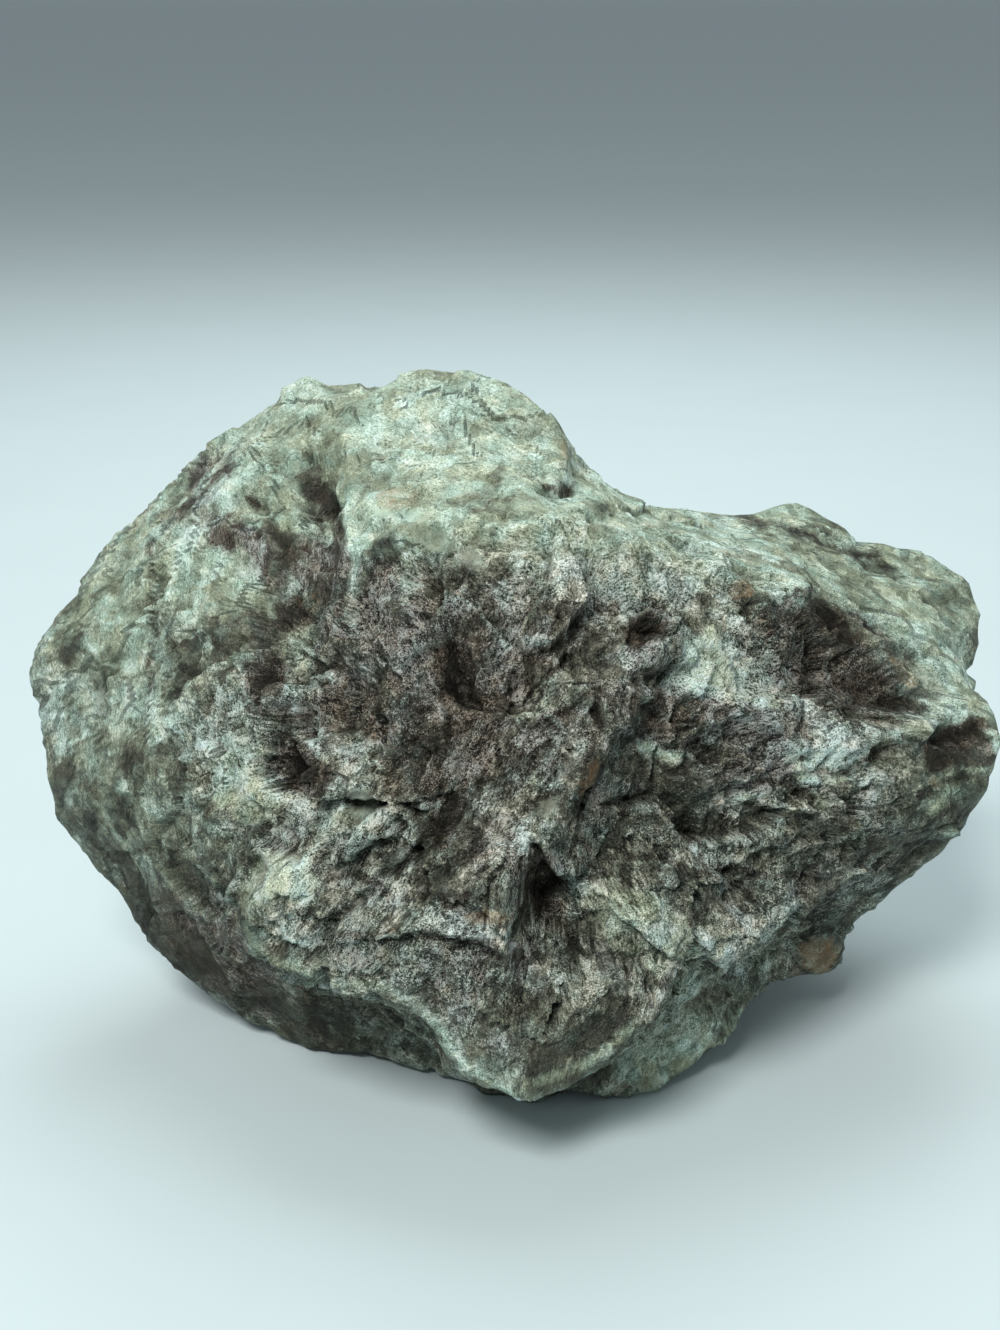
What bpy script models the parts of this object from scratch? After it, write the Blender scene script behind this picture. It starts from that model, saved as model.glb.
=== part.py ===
"""A rough hand specimen of massive quartz, one closed solid that rests on a small flat spot.

Run it with: blender --background --python part.py

The stone is a closed skin stretched over surveyed corners. Corners on the side that faces a
viewer are given as sights: how far right and how far up they stand on a plane through the
stone's middle, and how far they stand out of that plane towards the viewer. Corners on the
hidden side are given in the stone's own frame. Triangles between neighbouring corners make the
broken faces, and hollows, ledges, chips and fibre steps are then worked into them.
"""

import itertools

import bmesh
import bpy
import numpy as np

# Lengths in this file are millimetres until the mesh is written, which is in metres.
METRES_PER_MM = 0.001

# The finished stone measures about 103 across, 70 deep and 66 high.
NODE_NAME = "quartz_stone"
SIGHT_PITCH = np.radians(20.0)
SIGHT_RANGE = 180.0
SIGHT_MIDDLE = np.array([-1.2, -6.5, 39.9])
HEART = np.array([0.0, 3.0, 29.0])

# Resolution of the skin before and after it is thinned. Thinning moves points a little, so those
# lower than this are laid back on the flat spot.
SPHERE_SUBDIVISIONS = 7
KEPT_SHARE = 0.1
FLAT_SPOT_BELOW = 0.12

TO_RIGHT = np.array([1.0, 0.0, 0.0])
TO_TOP = np.array([0.0, np.sin(SIGHT_PITCH), np.cos(SIGHT_PITCH)])
TO_VIEWER = np.array([0.0, -np.cos(SIGHT_PITCH), np.sin(SIGHT_PITCH)])

# ---- Corners as sights: (right, up, near), in mm -------------------------------------------

SKYLINE = (
    (-46.3, -0.5, -17), (-45.4, 2.2, -18), (-42.9, 6.0, -19), (-38.8, 11.5, -19),
    (-33.5, 16.5, -18), (-28.8, 21.0, -17), (-23.9, 24.3, -15), (-20.6, 27.0, -14),
    (-19.4, 28.3, -13), (-18.0, 27.1, -12), (-15.2, 27.8, -14), (-11.7, 27.7, -13),
    (-9.5, 28.7, -9), (-7.0, 29.2, -8), (-2.4, 28.5, -7), (1.7, 26.8, -6),
    (5.3, 24.5, -5), (6.1, 22.3, -4), (7.0, 19.2, -4), (8.9, 19.0, -8),
    (11.9, 16.4, -10), (14.1, 15.6, -12), (18.8, 15.5, -16), (21.6, 14.8, -18),
    (24.2, 14.9, -22), (28.9, 16.1, -26), (32.6, 13.9, -25), (34.6, 12.1, -25),
    (37.0, 12.4, -26), (42.4, 10.6, -27), (46.0, 8.4, -25), (47.0, 5.5, -23),
    (46.6, 1.8, -20), (45.8, -0.8, -17), (46.3, -3.2, -12), (47.9, -4.9, -9),
    (48.8, -7.6, -8), (48.3, -10.6, -7), (46.8, -13.4, -6), (45.0, -16.0, -6),
    (43.4, -18.7, -7), (38.9, -22.1, -8), (35.1, -25.4, -10),
)
FAR_LEFT_EDGE = (
    (-45.6, -4.6, -17), (-44.0, -10.4, -16), (-42.8, -15.1, -16), (-40.0, -19.1, -15),
    (-37.2, -22.4, -14), (-35.3, -26.5, -14), (-31.0, -30.2, -13), (-27.0, -32.9, -12),
    (-23.0, -35.1, -10), (-20.6, -36.6, -9), (-18.4, -38.0, -8), (-13.1, -38.0, -6),
    (-10.3, -39.1, -5), (-5.7, -40.0, -3),
)
FOOT_EDGE = (
    (32.9, -28.1, -12), (31.0, -29.8, -12), (27.7, -30.6, -9), (24.3, -33.3, -6),
    (21.7, -37.0, -3), (18.0, -40.3, -1), (15.5, -41.9, 0), (12.5, -42.5, 0),
    (10.2, -42.0, 1), (8.4, -40.4, 3),
)
CREST = (
    (-25.0, -21.4, 4), (-24.6, -24.4, 6), (-23.7, -27.3, 8), (-22.2, -28.9, 9),
    (-20.0, -29.2, 10), (-17.7, -30.5, 11), (-15.1, -31.0, 12), (-11.7, -31.2, 13),
    (-8.8, -32.6, 14), (-6.0, -35.1, 14), (-4.9, -37.5, 14), (-3.7, -38.8, 14),
    (-1.2, -40.4, 15), (1.2, -41.9, 16), (3.1, -40.8, 15), (7.5, -39.3, 13),
    (10.7, -37.2, 14), (13.6, -34.6, 14), (16.1, -31.7, 13), (18.5, -29.2, 11),
    (22.4, -27.3, 8), (26.8, -24.4, 5), (31.2, -21.9, 1), (36.0, -19.5, -2),
)
UNDERCUT = (
    (-29.2, -22.9, -5), (-33.1, -25.8, -10), (-27.2, -28.0, -6), (-25.6, -31.6, -8),
    (-20.5, -31.6, -4), (-15.0, -33.0, -3), (-10.2, -34.0, -2), (-6.2, -37.8, -1),
    (-19.5, -35.6, -7), (-13.6, -36.3, -5), (9.2, -39.4, 2), (13.9, -37.6, 1),
    (18.0, -33.6, 1), (21.8, -30.6, -2), (25.3, -28.6, -5), (29.2, -26.8, -8),
    (19.5, -36.8, -1), (27.3, -26.0, -6),
)
BROW = (
    (-16.6, 25.8, -9), (-15.1, 19.0, -3), (-13.4, 10.2, 5), (-9.7, 12.7, 7),
    (-4.9, 12.2, 8), (0.0, 13.1, 8), (4.9, 13.3, 8), (8.8, 13.9, 6),
    (14.6, 12.3, 5), (21.4, 9.7, 3), (25.3, 6.8, 2), (30.7, 7.8, -3),
    (36.6, 3.0, -5), (41.8, -2.0, -6),
)
TOP_FACE = (
    (-9.7, 21.9, -3), (-1.9, 22.9, -3), (-6.8, 16.1, 4), (1.9, 18.0, 3),
    (5.8, 16.1, 2), (13.6, 13.9, -2), (19.5, 12.7, -6), (28.2, 10.6, -12),
    (36.0, 6.3, -14), (41.9, 3.4, -14), (34.1, 9.0, -18), (25.3, 12.8, -16),
)
LEFT_FLANK = (
    (-34.1, 10.2, -10), (-34.6, 2.4, -7), (-39.5, 3.0, -11), (-38.0, -5.4, -9),
    (-34.1, -9.3, -4), (-39.0, -13.1, -9), (-32.1, -18.0, -5), (-28.2, 14.1, -7),
    (-24.4, 21.4, -9), (-22.4, 14.1, -3), (-26.3, 2.4, 0), (-19.5, 4.4, -1),
    (-24.4, -9.3, 4), (-20.5, -18.0, 9), (-29.2, -13.1, 1), (-17.5, -5.4, 4),
)
FRONT_FACE = (
    (-9.7, 4.4, 11), (-4.9, 0.5, 10), (-2.9, -4.4, 10), (3.9, 4.4, 12),
    (9.7, 2.4, 12), (15.6, 2.4, 11), (9.7, -7.3, 14), (3.9, -15.4, 16),
    (0.4, -21.4, 17), (-9.7, -9.3, 11), (-14.6, -19.0, 12), (-5.8, -18.0, 13),
    (-7.8, -25.8, 15), (0.0, -27.4, 16), (4.6, -22.9, 11), (14.0, -25.0, 12.5),
    (8.7, -31.7, 15.5), (0.0, -34.6, 17), (19.5, -12.6, 10), (13.6, -12.0, 10.5),
    (8.6, -18.6, 10), (15.2, -18.2, 8.5), (20.8, -19.0, 6.5), (21.4, -24.0, 9),
    (27.3, -9.3, 7), (19.5, -1.5, 9), (27.4, 1.0, 3), (34.6, -6.4, 2),
    (35.1, -12.2, 3), (42.9, -9.3, -3), (27.3, -17.4, 4.5), (39.0, -15.1, 1),
    (40.6, -6.2, -2),
)
WINDOW = (
    (30.6, 5.2, -7), (35.6, 0.6, -8), (39.6, -3.4, -7), (34.6, -3.6, -4),
    (30.4, 0.2, -3),
)

# ---- Corners of the hidden side: (x, y, z) in the stone's frame, in mm ----------------------

BACK = (
    (-39.0, 21.5, 40.5), (-33.0, 21.0, 30.0), (-25.0, 23.0, 52.0), (-18.0, 32.0, 38.0),
    (-22.0, 29.0, 18.0), (-6.0, 27.0, 55.0), (-3.0, 35.0, 42.0), (-5.0, 33.0, 20.0),
    (9.0, 26.0, 47.0), (12.0, 33.0, 30.0), (15.0, 29.0, 12.0), (25.0, 31.0, 40.0),
    (28.0, 32.0, 24.0), (31.0, 23.0, 13.0), (40.0, 27.0, 36.0), (41.0, 18.0, 21.0),
    (-36.0, 11.0, 20.0), (-30.0, 13.0, 8.0),
)
UNDERSIDE = (
    (-12.0, -5.0, -0.8), (-11.0, 19.0, -0.8), (-22.0, 7.0, 1.4), (1.0, -8.0, -0.8),
    (4.0, 18.0, -0.8), (12.0, 7.0, -0.8), (13.0, -11.0, 0.8), (22.0, 11.0, 5.0),
    (19.0, 22.0, 4.0), (31.0, 9.0, 12.0), (-4.0, 27.0, 3.6), (-14.0, -14.0, 2.2),
)

# ---- Worked forms on the side that faces a viewer, as sights in mm ---------------------------

# A hollow is (right, up, half length, half width, turn in degrees, depth). A negative depth is a knob.
HOLLOWS = (
    (-20.0, -10.2, 3.0, 2.0, 100, 3.0),
    (-23.4, 1.0, 4.2, 2.2, 95, 1.6),
    (-18.2, 15.1, 6.4, 2.0, 94, 1.7),
    (-23.9, 16.1, 1.1, 0.9, 0, 1.1),
    (-20.5, 5.8, 1.1, 0.9, 0, 1.2),
    (-14.5, -3.0, 4.5, 2.6, 110, 1.5),
    (-4.2, -0.8, 3.4, 1.6, 95, 1.6),
    (2.4, -2.0, 2.6, 1.6, 60, 1.2),
    (4.2, -21.4, 4.6, 2.2, 112, 1.6),
    (14.4, 3.4, 2.2, 1.6, 40, 1.2),
    (15.8, -1.6, 4.2, 1.7, 5, 1.1),
    (21.5, -8.0, 4.0, 2.4, 30, 1.3),
    (35.2, 0.2, 5.6, 2.8, -42, 1.0),
    (45.0, -7.2, 3.4, 1.8, 10, 1.5),
    (5.8, 17.0, 1.9, 0.8, 0, 1.2),
    (-6.6, 9.2, 4.0, 1.6, -12, 1.0),
    (10.0, 8.4, 3.2, 1.7, 70, 1.0),
    (-17.0, -30.6, 1.5, 1.0, 60, 1.6),
    (8.6, -27.0, 3.4, 1.6, 40, 1.1),
    (-39.5, -2.0, 3.2, 1.6, 100, 0.9),
    (-31.0, -7.0, 3.4, 1.8, 60, 1.0),
    (-20.5, -22.9, 4.6, 4.0, 90, -1.5),
    (31.2, -28.2, 2.4, 2.0, 0, -1.4),
    (-11.2, 14.8, 3.0, 2.2, 20, -0.8),
    (26.5, -4.6, 2.6, 2.2, 0, -1.2),
    (-19.3, 27.4, 1.9, 1.2, 30, -0.6),
)

# A ridge is (line of sights, height, half width above the line, half width below it).
RIDGES = (
    (tuple(corner[:2] for corner in CREST), 1.1, 1.6, 0.5),
    (((15.6, 1.5), (9.7, -8.3), (3.9, -17.0), (0.6, -22.4)), 1.2, 2.4, 1.4),
    (((4.8, -18.2), (9.2, -19.4), (15.2, -18.4), (20.0, -19.8)), 1.2, 0.6, 2.2),
    (((-14.6, -25.6), (-7.8, -25.3), (-2.9, -25.8), (1.9, -27.3), (2.9, -28.7)), 1.3, 1.8, 0.4),
    (((-14.6, 21.0), (-14.2, 10.0), (-15.2, 1.5)), 1.3, 1.6, 1.2),
    (((-29.0, -16.5), (-24.0, -12.5), (-21.0, -14.0)), 0.9, 1.6, 0.5),
    (((23.0, -5.0), (30.0, -8.6), (38.0, -8.0), (44.0, -3.6)), 1.1, 1.8, 0.6),
    (((21.4, 8.4), (25.3, 5.6), (27.0, 1.4)), 1.2, 1.6, 0.7),
    (((-12.0, 11.6), (-6.0, 13.6), (1.0, 13.4), (8.0, 14.4)), 0.8, 1.6, 0.6),
    (((16.0, -22.0), (24.0, -17.5), (33.0, -15.6)), 0.9, 1.6, 0.6),
    (((21.5, 15.2), (29.0, 13.2), (38.0, 9.6)), -1.4, 0.9, 0.9),
    (((-33.8, 8.8), (-33.6, 2.4), (-34.3, -3.0)), -0.7, 0.8, 0.8),
    (((-4.7, -13.2), (-7.3, -18.0), (-12.2, -21.9), (-16.6, -25.3)), -1.3, 0.8, 1.1),
    (((-1.9, -16.6), (-5.8, -20.0), (-9.7, -22.9)), -0.8, 0.6, 0.8),
    (((-10.2, -16.0), (-14.6, -19.8), (-17.5, -21.0)), -0.9, 0.6, 0.8),
    (((-19.8, 5.0), (-19.2, -2.0), (-20.8, -7.6)), 1.1, 2.4, 0.7),
    (((-22.0, -12.4), (-23.4, -17.0), (-24.6, -21.4)), 1.0, 2.0, 0.8),
)

# The worked forms fade out between these distances behind the plane of sight.
FADE_FROM = -25.0
FADE_TO = -19.0

# Their outlines waver by this much, in waves of this size, and the rims of hollows are ragged.
WAVER = 0.7
WAVER_SIZE = 2.6
RAGGED_SHARE = 0.3
RAGGED_SIZE = 1.6

# ---- Roughness of the broken skin, all round ------------------------------------------------

# How far the edges between faces wander, as an angle, and the size of the waves they wander in.
WANDER_ANGLE = 0.016
WANDER_SIZE = 0.16

# Neighbouring directions on a small ring are averaged, which rounds each edge a little. The ring
# is laid out square to a reference direction.
ROUNDING_ANGLE = 0.010
ROUNDING_SAMPLES = 6
RING_REFERENCE = (0.31, 0.17, 0.93)

# Broken plates: (size of a plate, reach of its tilt over that size, reach of its step), coarse to
# fine. Their edges bend by a share of their size, and a slow swell lies under them.
PLATES = ((9.0, 2.2, 1.2), (3.6, 0.9, 0.5))
PLATE_BEND = 0.3
SWELL_SIZE = 16.0
SWELL_HEIGHT = 0.5

# The flanks, top and back are smoother than the broken front: there the plates are lower, by this
# share. The front is an ellipse of sights: (right, up, half length, half width, turn).
FLANK_SHARE = 0.3
BROKEN_FRONT = (6.0, -12.0, 40.0, 26.0, 0)

# Each fixed random field starts from its own salt.
WANDER_SALT = 1
RAGGED_SALT = 40
WAVER_SALT = 41
SWELL_SALT = 60
PLATE_SALTS = (100, 130)
PLATE_BEND_SALT = 20
TILT_SALT = 3
STEP_SALT = 6


def from_sight(sights):
    """Places in the stone's frame of sights (right, up, near), along rays that meet at the viewer."""
    right, up, near = np.asarray(sights, float).T
    shrink = 1.0 - near / SIGHT_RANGE
    across = np.outer(right * shrink, TO_RIGHT) + np.outer(up * shrink, TO_TOP)
    return SIGHT_MIDDLE + across + np.outer(near, TO_VIEWER)


def to_sight(places):
    """The reverse of from_sight."""
    offset = places - SIGHT_MIDDLE
    near = offset @ TO_VIEWER
    shrink = 1.0 - near / SIGHT_RANGE
    return np.stack([offset @ TO_RIGHT / shrink, offset @ TO_TOP / shrink, near], axis=1)


def unit(vectors):
    return vectors / np.linalg.norm(vectors, axis=1, keepdims=True)


def smooth_step(low, high, value):
    """0 below low, 1 above high, and an eased rise between them."""
    share = np.clip((value - low) / (high - low), 0.0, 1.0)
    return share * share * (3.0 - 2.0 * share)


# ---- Fixed random fields --------------------------------------------------------------------


def cell_value(cells, salt):
    """A fixed random number from 0 to 1 for each whole-numbered cell: its three numbers, hashed."""
    x, y, z = cells.astype(np.int64).T
    mixed = x * 73856093 + y * 19349663 + z * 83492791 + salt * 2654435
    for shift, factor in ((13, 1274126177), (16, 1911520717), (15, 1367130551)):
        mixed = ((mixed ^ (mixed >> shift)) * factor) & 0x7FFFFFFF
    return (mixed & 0xFFFFF) / 0x100000


def cell_vector(cells, salt):
    return np.stack([cell_value(cells, salt + axis) for axis in range(3)], axis=1)


def soft_noise(places, size, salt):
    """Smooth noise from -1 to 1: random values at the corners of cubes, eased between them."""
    scaled = places / size
    home = np.floor(scaled)
    part = scaled - home
    ease = part * part * (3.0 - 2.0 * part)
    total = np.zeros(len(places))
    for corner in itertools.product((0, 1), repeat=3):
        weight = np.prod(np.where(corner, ease, 1.0 - ease), axis=1)
        total += weight * cell_value(home + corner, salt)
    return 2.0 * total - 1.0


def soft_noise_vector(places, size, salt):
    return np.stack([soft_noise(places, size, salt + axis) for axis in range(3)], axis=1)


def broken_plates(places, size, slant, height, salt):
    """Relief of flat plates with random tilts and steps, one round each seed."""
    bend = PLATE_BEND * soft_noise_vector(places, size, salt + PLATE_BEND_SALT)
    scaled = places / size + bend
    home = np.floor(scaled)
    nearest = np.full(len(places), np.inf)
    relief = np.zeros(len(places))
    for offset in itertools.product((-1, 0, 1), repeat=3):
        cell = home + offset
        away = scaled - cell - cell_vector(cell, salt)
        distance = (away**2).sum(axis=1)
        tilt = 2.0 * cell_vector(cell, salt + TILT_SALT) - 1.0
        step = cell_value(cell, salt + STEP_SALT) - 0.5
        closer = distance < nearest
        nearest = np.where(closer, distance, nearest)
        relief = np.where(closer, slant * (tilt * away).sum(axis=1) + height * step, relief)
    return relief


# ---- The skin -------------------------------------------------------------------------------


def all_corners():
    sighted = (
        SKYLINE + FAR_LEFT_EDGE + FOOT_EDGE + CREST + UNDERCUT
        + BROW + TOP_FACE + LEFT_FLANK + FRONT_FACE + WINDOW
    )
    return np.concatenate([from_sight(sighted), np.array(BACK + UNDERSIDE, float)])


def faces_between(directions):
    """Triangles that join neighbouring directions: the faces of their convex hull."""
    hull = bmesh.new()
    for direction in directions:
        hull.verts.new(direction)
    bmesh.ops.convex_hull(hull, input=hull.verts)
    hull.verts.index_update()
    triangles = [[corner.index for corner in face.verts] for face in hull.faces]
    hull.free()
    return triangles


def flat_faced_radius(directions, corners, triangles):
    """Distance from the heart to the face that each direction passes through."""
    arms = corners - HEART
    radius = np.zeros(len(directions))
    for triangle in triangles:
        a, b, c = arms[triangle]
        if np.cross(b - a, c - a) @ a < 0.0:
            b, c = c, b
        slopes = np.stack([np.cross(a, b), np.cross(b, c), np.cross(c, a)])
        slopes /= np.linalg.norm(slopes, axis=1, keepdims=True)
        inside = (directions @ slopes.T > -1e-6).all(axis=1)
        normal = np.cross(b - a, c - a)
        radius[inside] = (normal @ a) / (directions[inside] @ normal)
    return radius


def rounded_radius(directions):
    """The flat-faced radius with wandering edges, averaged over a small ring of directions."""
    corners = all_corners()
    triangles = faces_between(unit(corners - HEART))
    wandered = unit(directions + WANDER_ANGLE * soft_noise_vector(directions, WANDER_SIZE, WANDER_SALT))
    side = unit(np.cross(wandered, RING_REFERENCE))
    other_side = np.cross(wandered, side)
    total = flat_faced_radius(wandered, corners, triangles)
    for sample in range(ROUNDING_SAMPLES):
        angle = 2.0 * np.pi * sample / ROUNDING_SAMPLES
        shift = np.cos(angle) * side + np.sin(angle) * other_side
        total += flat_faced_radius(unit(wandered + ROUNDING_ANGLE * shift), corners, triangles)
    return total / (ROUNDING_SAMPLES + 1)


def ellipse_reach(right, up, middle_right, middle_up, half_length, half_width, turn):
    """0 in the middle of a turned ellipse and 1 on its rim."""
    angle = np.radians(turn)
    along = (right - middle_right) * np.cos(angle) + (up - middle_up) * np.sin(angle)
    across = (up - middle_up) * np.cos(angle) - (right - middle_right) * np.sin(angle)
    return np.hypot(along / half_length, across / half_width)


def hollow_relief(right, up, rim):
    """Sunk ellipses with flat floors and steep, ragged rims."""
    relief = np.zeros(len(right))
    for *ellipse, depth in HOLLOWS:
        relief -= depth * smooth_step(1.15, 0.45, ellipse_reach(right, up, *ellipse) * rim)
    return relief


def ridge_relief(right, up):
    """Ridges and grooves along broken lines: the height falls off with distance, by side."""
    relief = np.zeros(len(right))
    for line, height, above, below in RIDGES:
        nearest = np.full(len(right), np.inf)
        scaled_distance = np.full(len(right), np.inf)
        for (x0, y0), (x1, y1) in zip(line, line[1:]):
            run = x1 - x0
            rise = y1 - y0
            share = ((right - x0) * run + (up - y0) * rise) / (run * run + rise * rise)
            share = np.clip(share, 0.0, 1.0)
            distance = np.hypot(right - x0 - share * run, up - y0 - share * rise)
            is_above = ((up - y0) * run - (right - x0) * rise) * run > 0.0
            closer = distance < nearest
            nearest = np.where(closer, distance, nearest)
            in_widths = distance / np.where(is_above, above, below)
            scaled_distance = np.where(closer, in_widths, scaled_distance)
        relief += height * np.exp(-(scaled_distance**1.5))
    return relief


def worked_relief(places):
    """The hollows and ridges, on the side that faces the viewer and faded out behind it."""
    right, up, near = to_sight(places).T
    rim = 1.0 + RAGGED_SHARE * soft_noise(places, RAGGED_SIZE, RAGGED_SALT)
    right = right + WAVER * soft_noise(places, WAVER_SIZE, WAVER_SALT)
    up = up + WAVER * soft_noise(places, WAVER_SIZE, WAVER_SALT + 1)
    relief = hollow_relief(right, up, rim) + ridge_relief(right, up)
    return relief * smooth_step(FADE_FROM, FADE_TO, near)


def plate_share(places):
    """How much of the plates' relief each place has: all of it on the broken front."""
    right, up, near = to_sight(places).T
    front = smooth_step(1.1, 0.7, ellipse_reach(right, up, *BROKEN_FRONT))
    front *= smooth_step(FADE_FROM, FADE_TO, near)
    return FLANK_SHARE + (1.0 - FLANK_SHARE) * front


def stone_places(directions):
    """Places on the skin: the rounded radius, then relief, then the flat spot at height 0."""
    radius = rounded_radius(directions)
    places = HEART + directions * radius[:, None]
    radius += worked_relief(places) + SWELL_HEIGHT * soft_noise(places, SWELL_SIZE, SWELL_SALT)
    share = plate_share(places)
    for (size, slant, height), salt in zip(PLATES, PLATE_SALTS):
        radius += share * broken_plates(places, size, slant, height, salt)
    falling = directions[:, 2] < 0.0
    to_table = np.full(len(directions), np.inf)
    to_table[falling] = -HEART[2] / directions[falling, 2]
    return HEART + directions * np.minimum(radius, to_table)[:, None]


# ---- The object -----------------------------------------------------------------------------


def quartz_material():
    material = bpy.data.materials.new("grey_green_quartz")
    material.use_nodes = True
    shader = material.node_tree.nodes["Principled BSDF"]
    shader.inputs["Base Color"].default_value = (0.27, 0.30, 0.25, 1.0)
    shader.inputs["Roughness"].default_value = 0.55
    shader.inputs["Metallic"].default_value = 0.0
    return material


def thinned_mesh(ball):
    """The ball's mesh with fewer triangles where it is flat, and its flat spot at height 0."""
    thinning = ball.modifiers.new("thinning", "DECIMATE")
    thinning.ratio = KEPT_SHARE
    evaluated = ball.evaluated_get(bpy.context.evaluated_depsgraph_get())
    mesh = bpy.data.meshes.new_from_object(evaluated)
    mesh.name = NODE_NAME
    points = np.empty(len(mesh.vertices) * 3)
    mesh.vertices.foreach_get("co", points)
    heights = points[2::3]
    heights[heights < FLAT_SPOT_BELOW * METRES_PER_MM] = 0.0
    mesh.vertices.foreach_set("co", points)
    mesh.update()
    return mesh


def make_stone(collection):
    """A ball of small triangles, shaped point by point and then thinned."""
    bpy.ops.mesh.primitive_ico_sphere_add(subdivisions=SPHERE_SUBDIVISIONS, radius=1.0)
    ball = bpy.context.object
    points = np.empty(len(ball.data.vertices) * 3)
    ball.data.vertices.foreach_get("co", points)
    places = stone_places(unit(points.reshape(-1, 3)))
    ball.data.vertices.foreach_set("co", (places * METRES_PER_MM).ravel())
    ball.data.update()
    stone = bpy.data.objects.new(NODE_NAME, thinned_mesh(ball))
    bpy.data.objects.remove(ball)
    stone.data.materials.append(quartz_material())
    collection.objects.link(stone)
    return stone


def main():
    for old in list(bpy.data.objects):
        bpy.data.objects.remove(old)
    collection = bpy.data.collections.new("quartz_specimen")
    bpy.context.scene.collection.children.link(collection)
    make_stone(collection)


main()
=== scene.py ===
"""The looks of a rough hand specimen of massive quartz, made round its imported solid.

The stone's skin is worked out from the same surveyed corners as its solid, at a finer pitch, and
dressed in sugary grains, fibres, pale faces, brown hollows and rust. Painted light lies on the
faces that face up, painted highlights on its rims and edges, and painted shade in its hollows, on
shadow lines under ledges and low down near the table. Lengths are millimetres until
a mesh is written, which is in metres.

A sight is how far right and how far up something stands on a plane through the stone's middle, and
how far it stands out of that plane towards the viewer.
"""

import itertools
import logging
from dataclasses import dataclass, field
from enum import Enum

import bmesh
import bpy
import numpy as np
from mathutils import Matrix, Vector

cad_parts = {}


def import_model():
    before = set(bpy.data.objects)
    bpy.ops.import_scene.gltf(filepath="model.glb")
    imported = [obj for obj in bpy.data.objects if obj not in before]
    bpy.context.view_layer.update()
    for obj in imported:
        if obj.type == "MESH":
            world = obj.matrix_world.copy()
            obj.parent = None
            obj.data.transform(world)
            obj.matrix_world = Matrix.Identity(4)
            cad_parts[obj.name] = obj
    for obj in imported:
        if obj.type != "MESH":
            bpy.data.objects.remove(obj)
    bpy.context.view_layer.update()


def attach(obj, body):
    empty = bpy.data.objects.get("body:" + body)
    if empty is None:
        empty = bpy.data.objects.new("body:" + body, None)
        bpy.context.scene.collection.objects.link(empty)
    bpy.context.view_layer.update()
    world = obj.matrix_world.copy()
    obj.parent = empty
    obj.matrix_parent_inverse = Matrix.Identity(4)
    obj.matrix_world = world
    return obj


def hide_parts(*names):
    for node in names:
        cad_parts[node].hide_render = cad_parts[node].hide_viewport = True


Array = np.ndarray
Colour = tuple[float, float, float]
Number = float | int
Limits = tuple[float, float]
Spot = tuple[float, float]
Line = tuple[Spot, ...]
Zone = tuple[float, Line]
Row = tuple[float, ...]

LOG = logging.getLogger("quartz_specimen")
NODE = "quartz_stone"
BODY = "root"
METRES_PER_MM = 0.001

# A way that no edge or fibre quite follows, which side axes are worked out from.
SIDE_HINT = (0.31, 0.17, 0.93)

# Corners as sights: (right, up, near), in mm.
SKYLINE = (
    (-46.3, -0.5, -17), (-45.4, 2.2, -18), (-42.9, 6.0, -19), (-38.8, 11.5, -19),
    (-33.5, 16.5, -18), (-28.8, 21.0, -17), (-23.9, 24.3, -15), (-20.6, 27.0, -14),
    (-19.4, 28.3, -13), (-18.0, 27.1, -12), (-15.2, 27.8, -14), (-11.7, 27.7, -13),
    (-9.5, 28.7, -9), (-7.0, 29.2, -8), (-2.4, 28.5, -7), (1.7, 26.8, -6),
    (5.3, 24.5, -5), (6.1, 22.3, -4), (7.0, 19.2, -4), (8.9, 19.0, -8),
    (11.9, 16.4, -10), (14.1, 15.6, -12), (18.8, 15.5, -16), (21.6, 14.8, -18),
    (24.2, 14.9, -22), (28.9, 16.1, -26), (32.6, 13.9, -25), (34.6, 12.1, -25),
    (37.0, 12.4, -26), (42.4, 10.6, -27), (46.0, 8.4, -25), (47.0, 5.5, -23),
    (46.6, 1.8, -20), (45.8, -0.8, -17), (46.3, -3.2, -12), (47.9, -4.9, -9),
    (48.8, -7.6, -8), (48.3, -10.6, -7), (46.8, -13.4, -6), (45.0, -16.0, -6),
    (43.4, -18.7, -7), (38.9, -22.1, -8), (35.1, -25.4, -10),
)
FAR_LEFT_EDGE = (
    (-45.6, -4.6, -17), (-44.0, -10.4, -16), (-42.8, -15.1, -16), (-40.0, -19.1, -15),
    (-37.2, -22.4, -14), (-35.3, -26.5, -14), (-31.0, -30.2, -13), (-27.0, -32.9, -12),
    (-23.0, -35.1, -10), (-20.6, -36.6, -9), (-18.4, -38.0, -8), (-13.1, -38.0, -6),
    (-10.3, -39.1, -5), (-5.7, -40.0, -3),
)
FOOT_EDGE = (
    (32.9, -28.1, -12), (31.0, -29.8, -12), (27.7, -30.6, -9), (24.3, -33.3, -6),
    (21.7, -37.0, -3), (18.0, -40.3, -1), (15.5, -41.9, 0), (12.5, -42.5, 0),
    (10.2, -42.0, 1), (8.4, -40.4, 3),
)
CREST = (
    (-25.0, -21.4, 4), (-24.6, -24.4, 6), (-23.7, -27.3, 8), (-22.2, -28.9, 9),
    (-20.0, -29.2, 10), (-17.7, -30.5, 11), (-15.1, -31.0, 12), (-11.7, -31.2, 13),
    (-8.8, -32.6, 14), (-6.0, -35.1, 14), (-4.9, -37.5, 14), (-3.7, -38.8, 14),
    (-1.2, -40.4, 15), (1.2, -41.9, 16), (3.1, -40.8, 15), (7.5, -39.3, 13),
    (10.7, -37.2, 14), (13.6, -34.6, 14), (16.1, -31.7, 13), (18.5, -29.2, 11),
    (22.4, -27.3, 8), (26.8, -24.4, 5), (31.2, -21.9, 1), (36.0, -19.5, -2),
)
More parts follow.
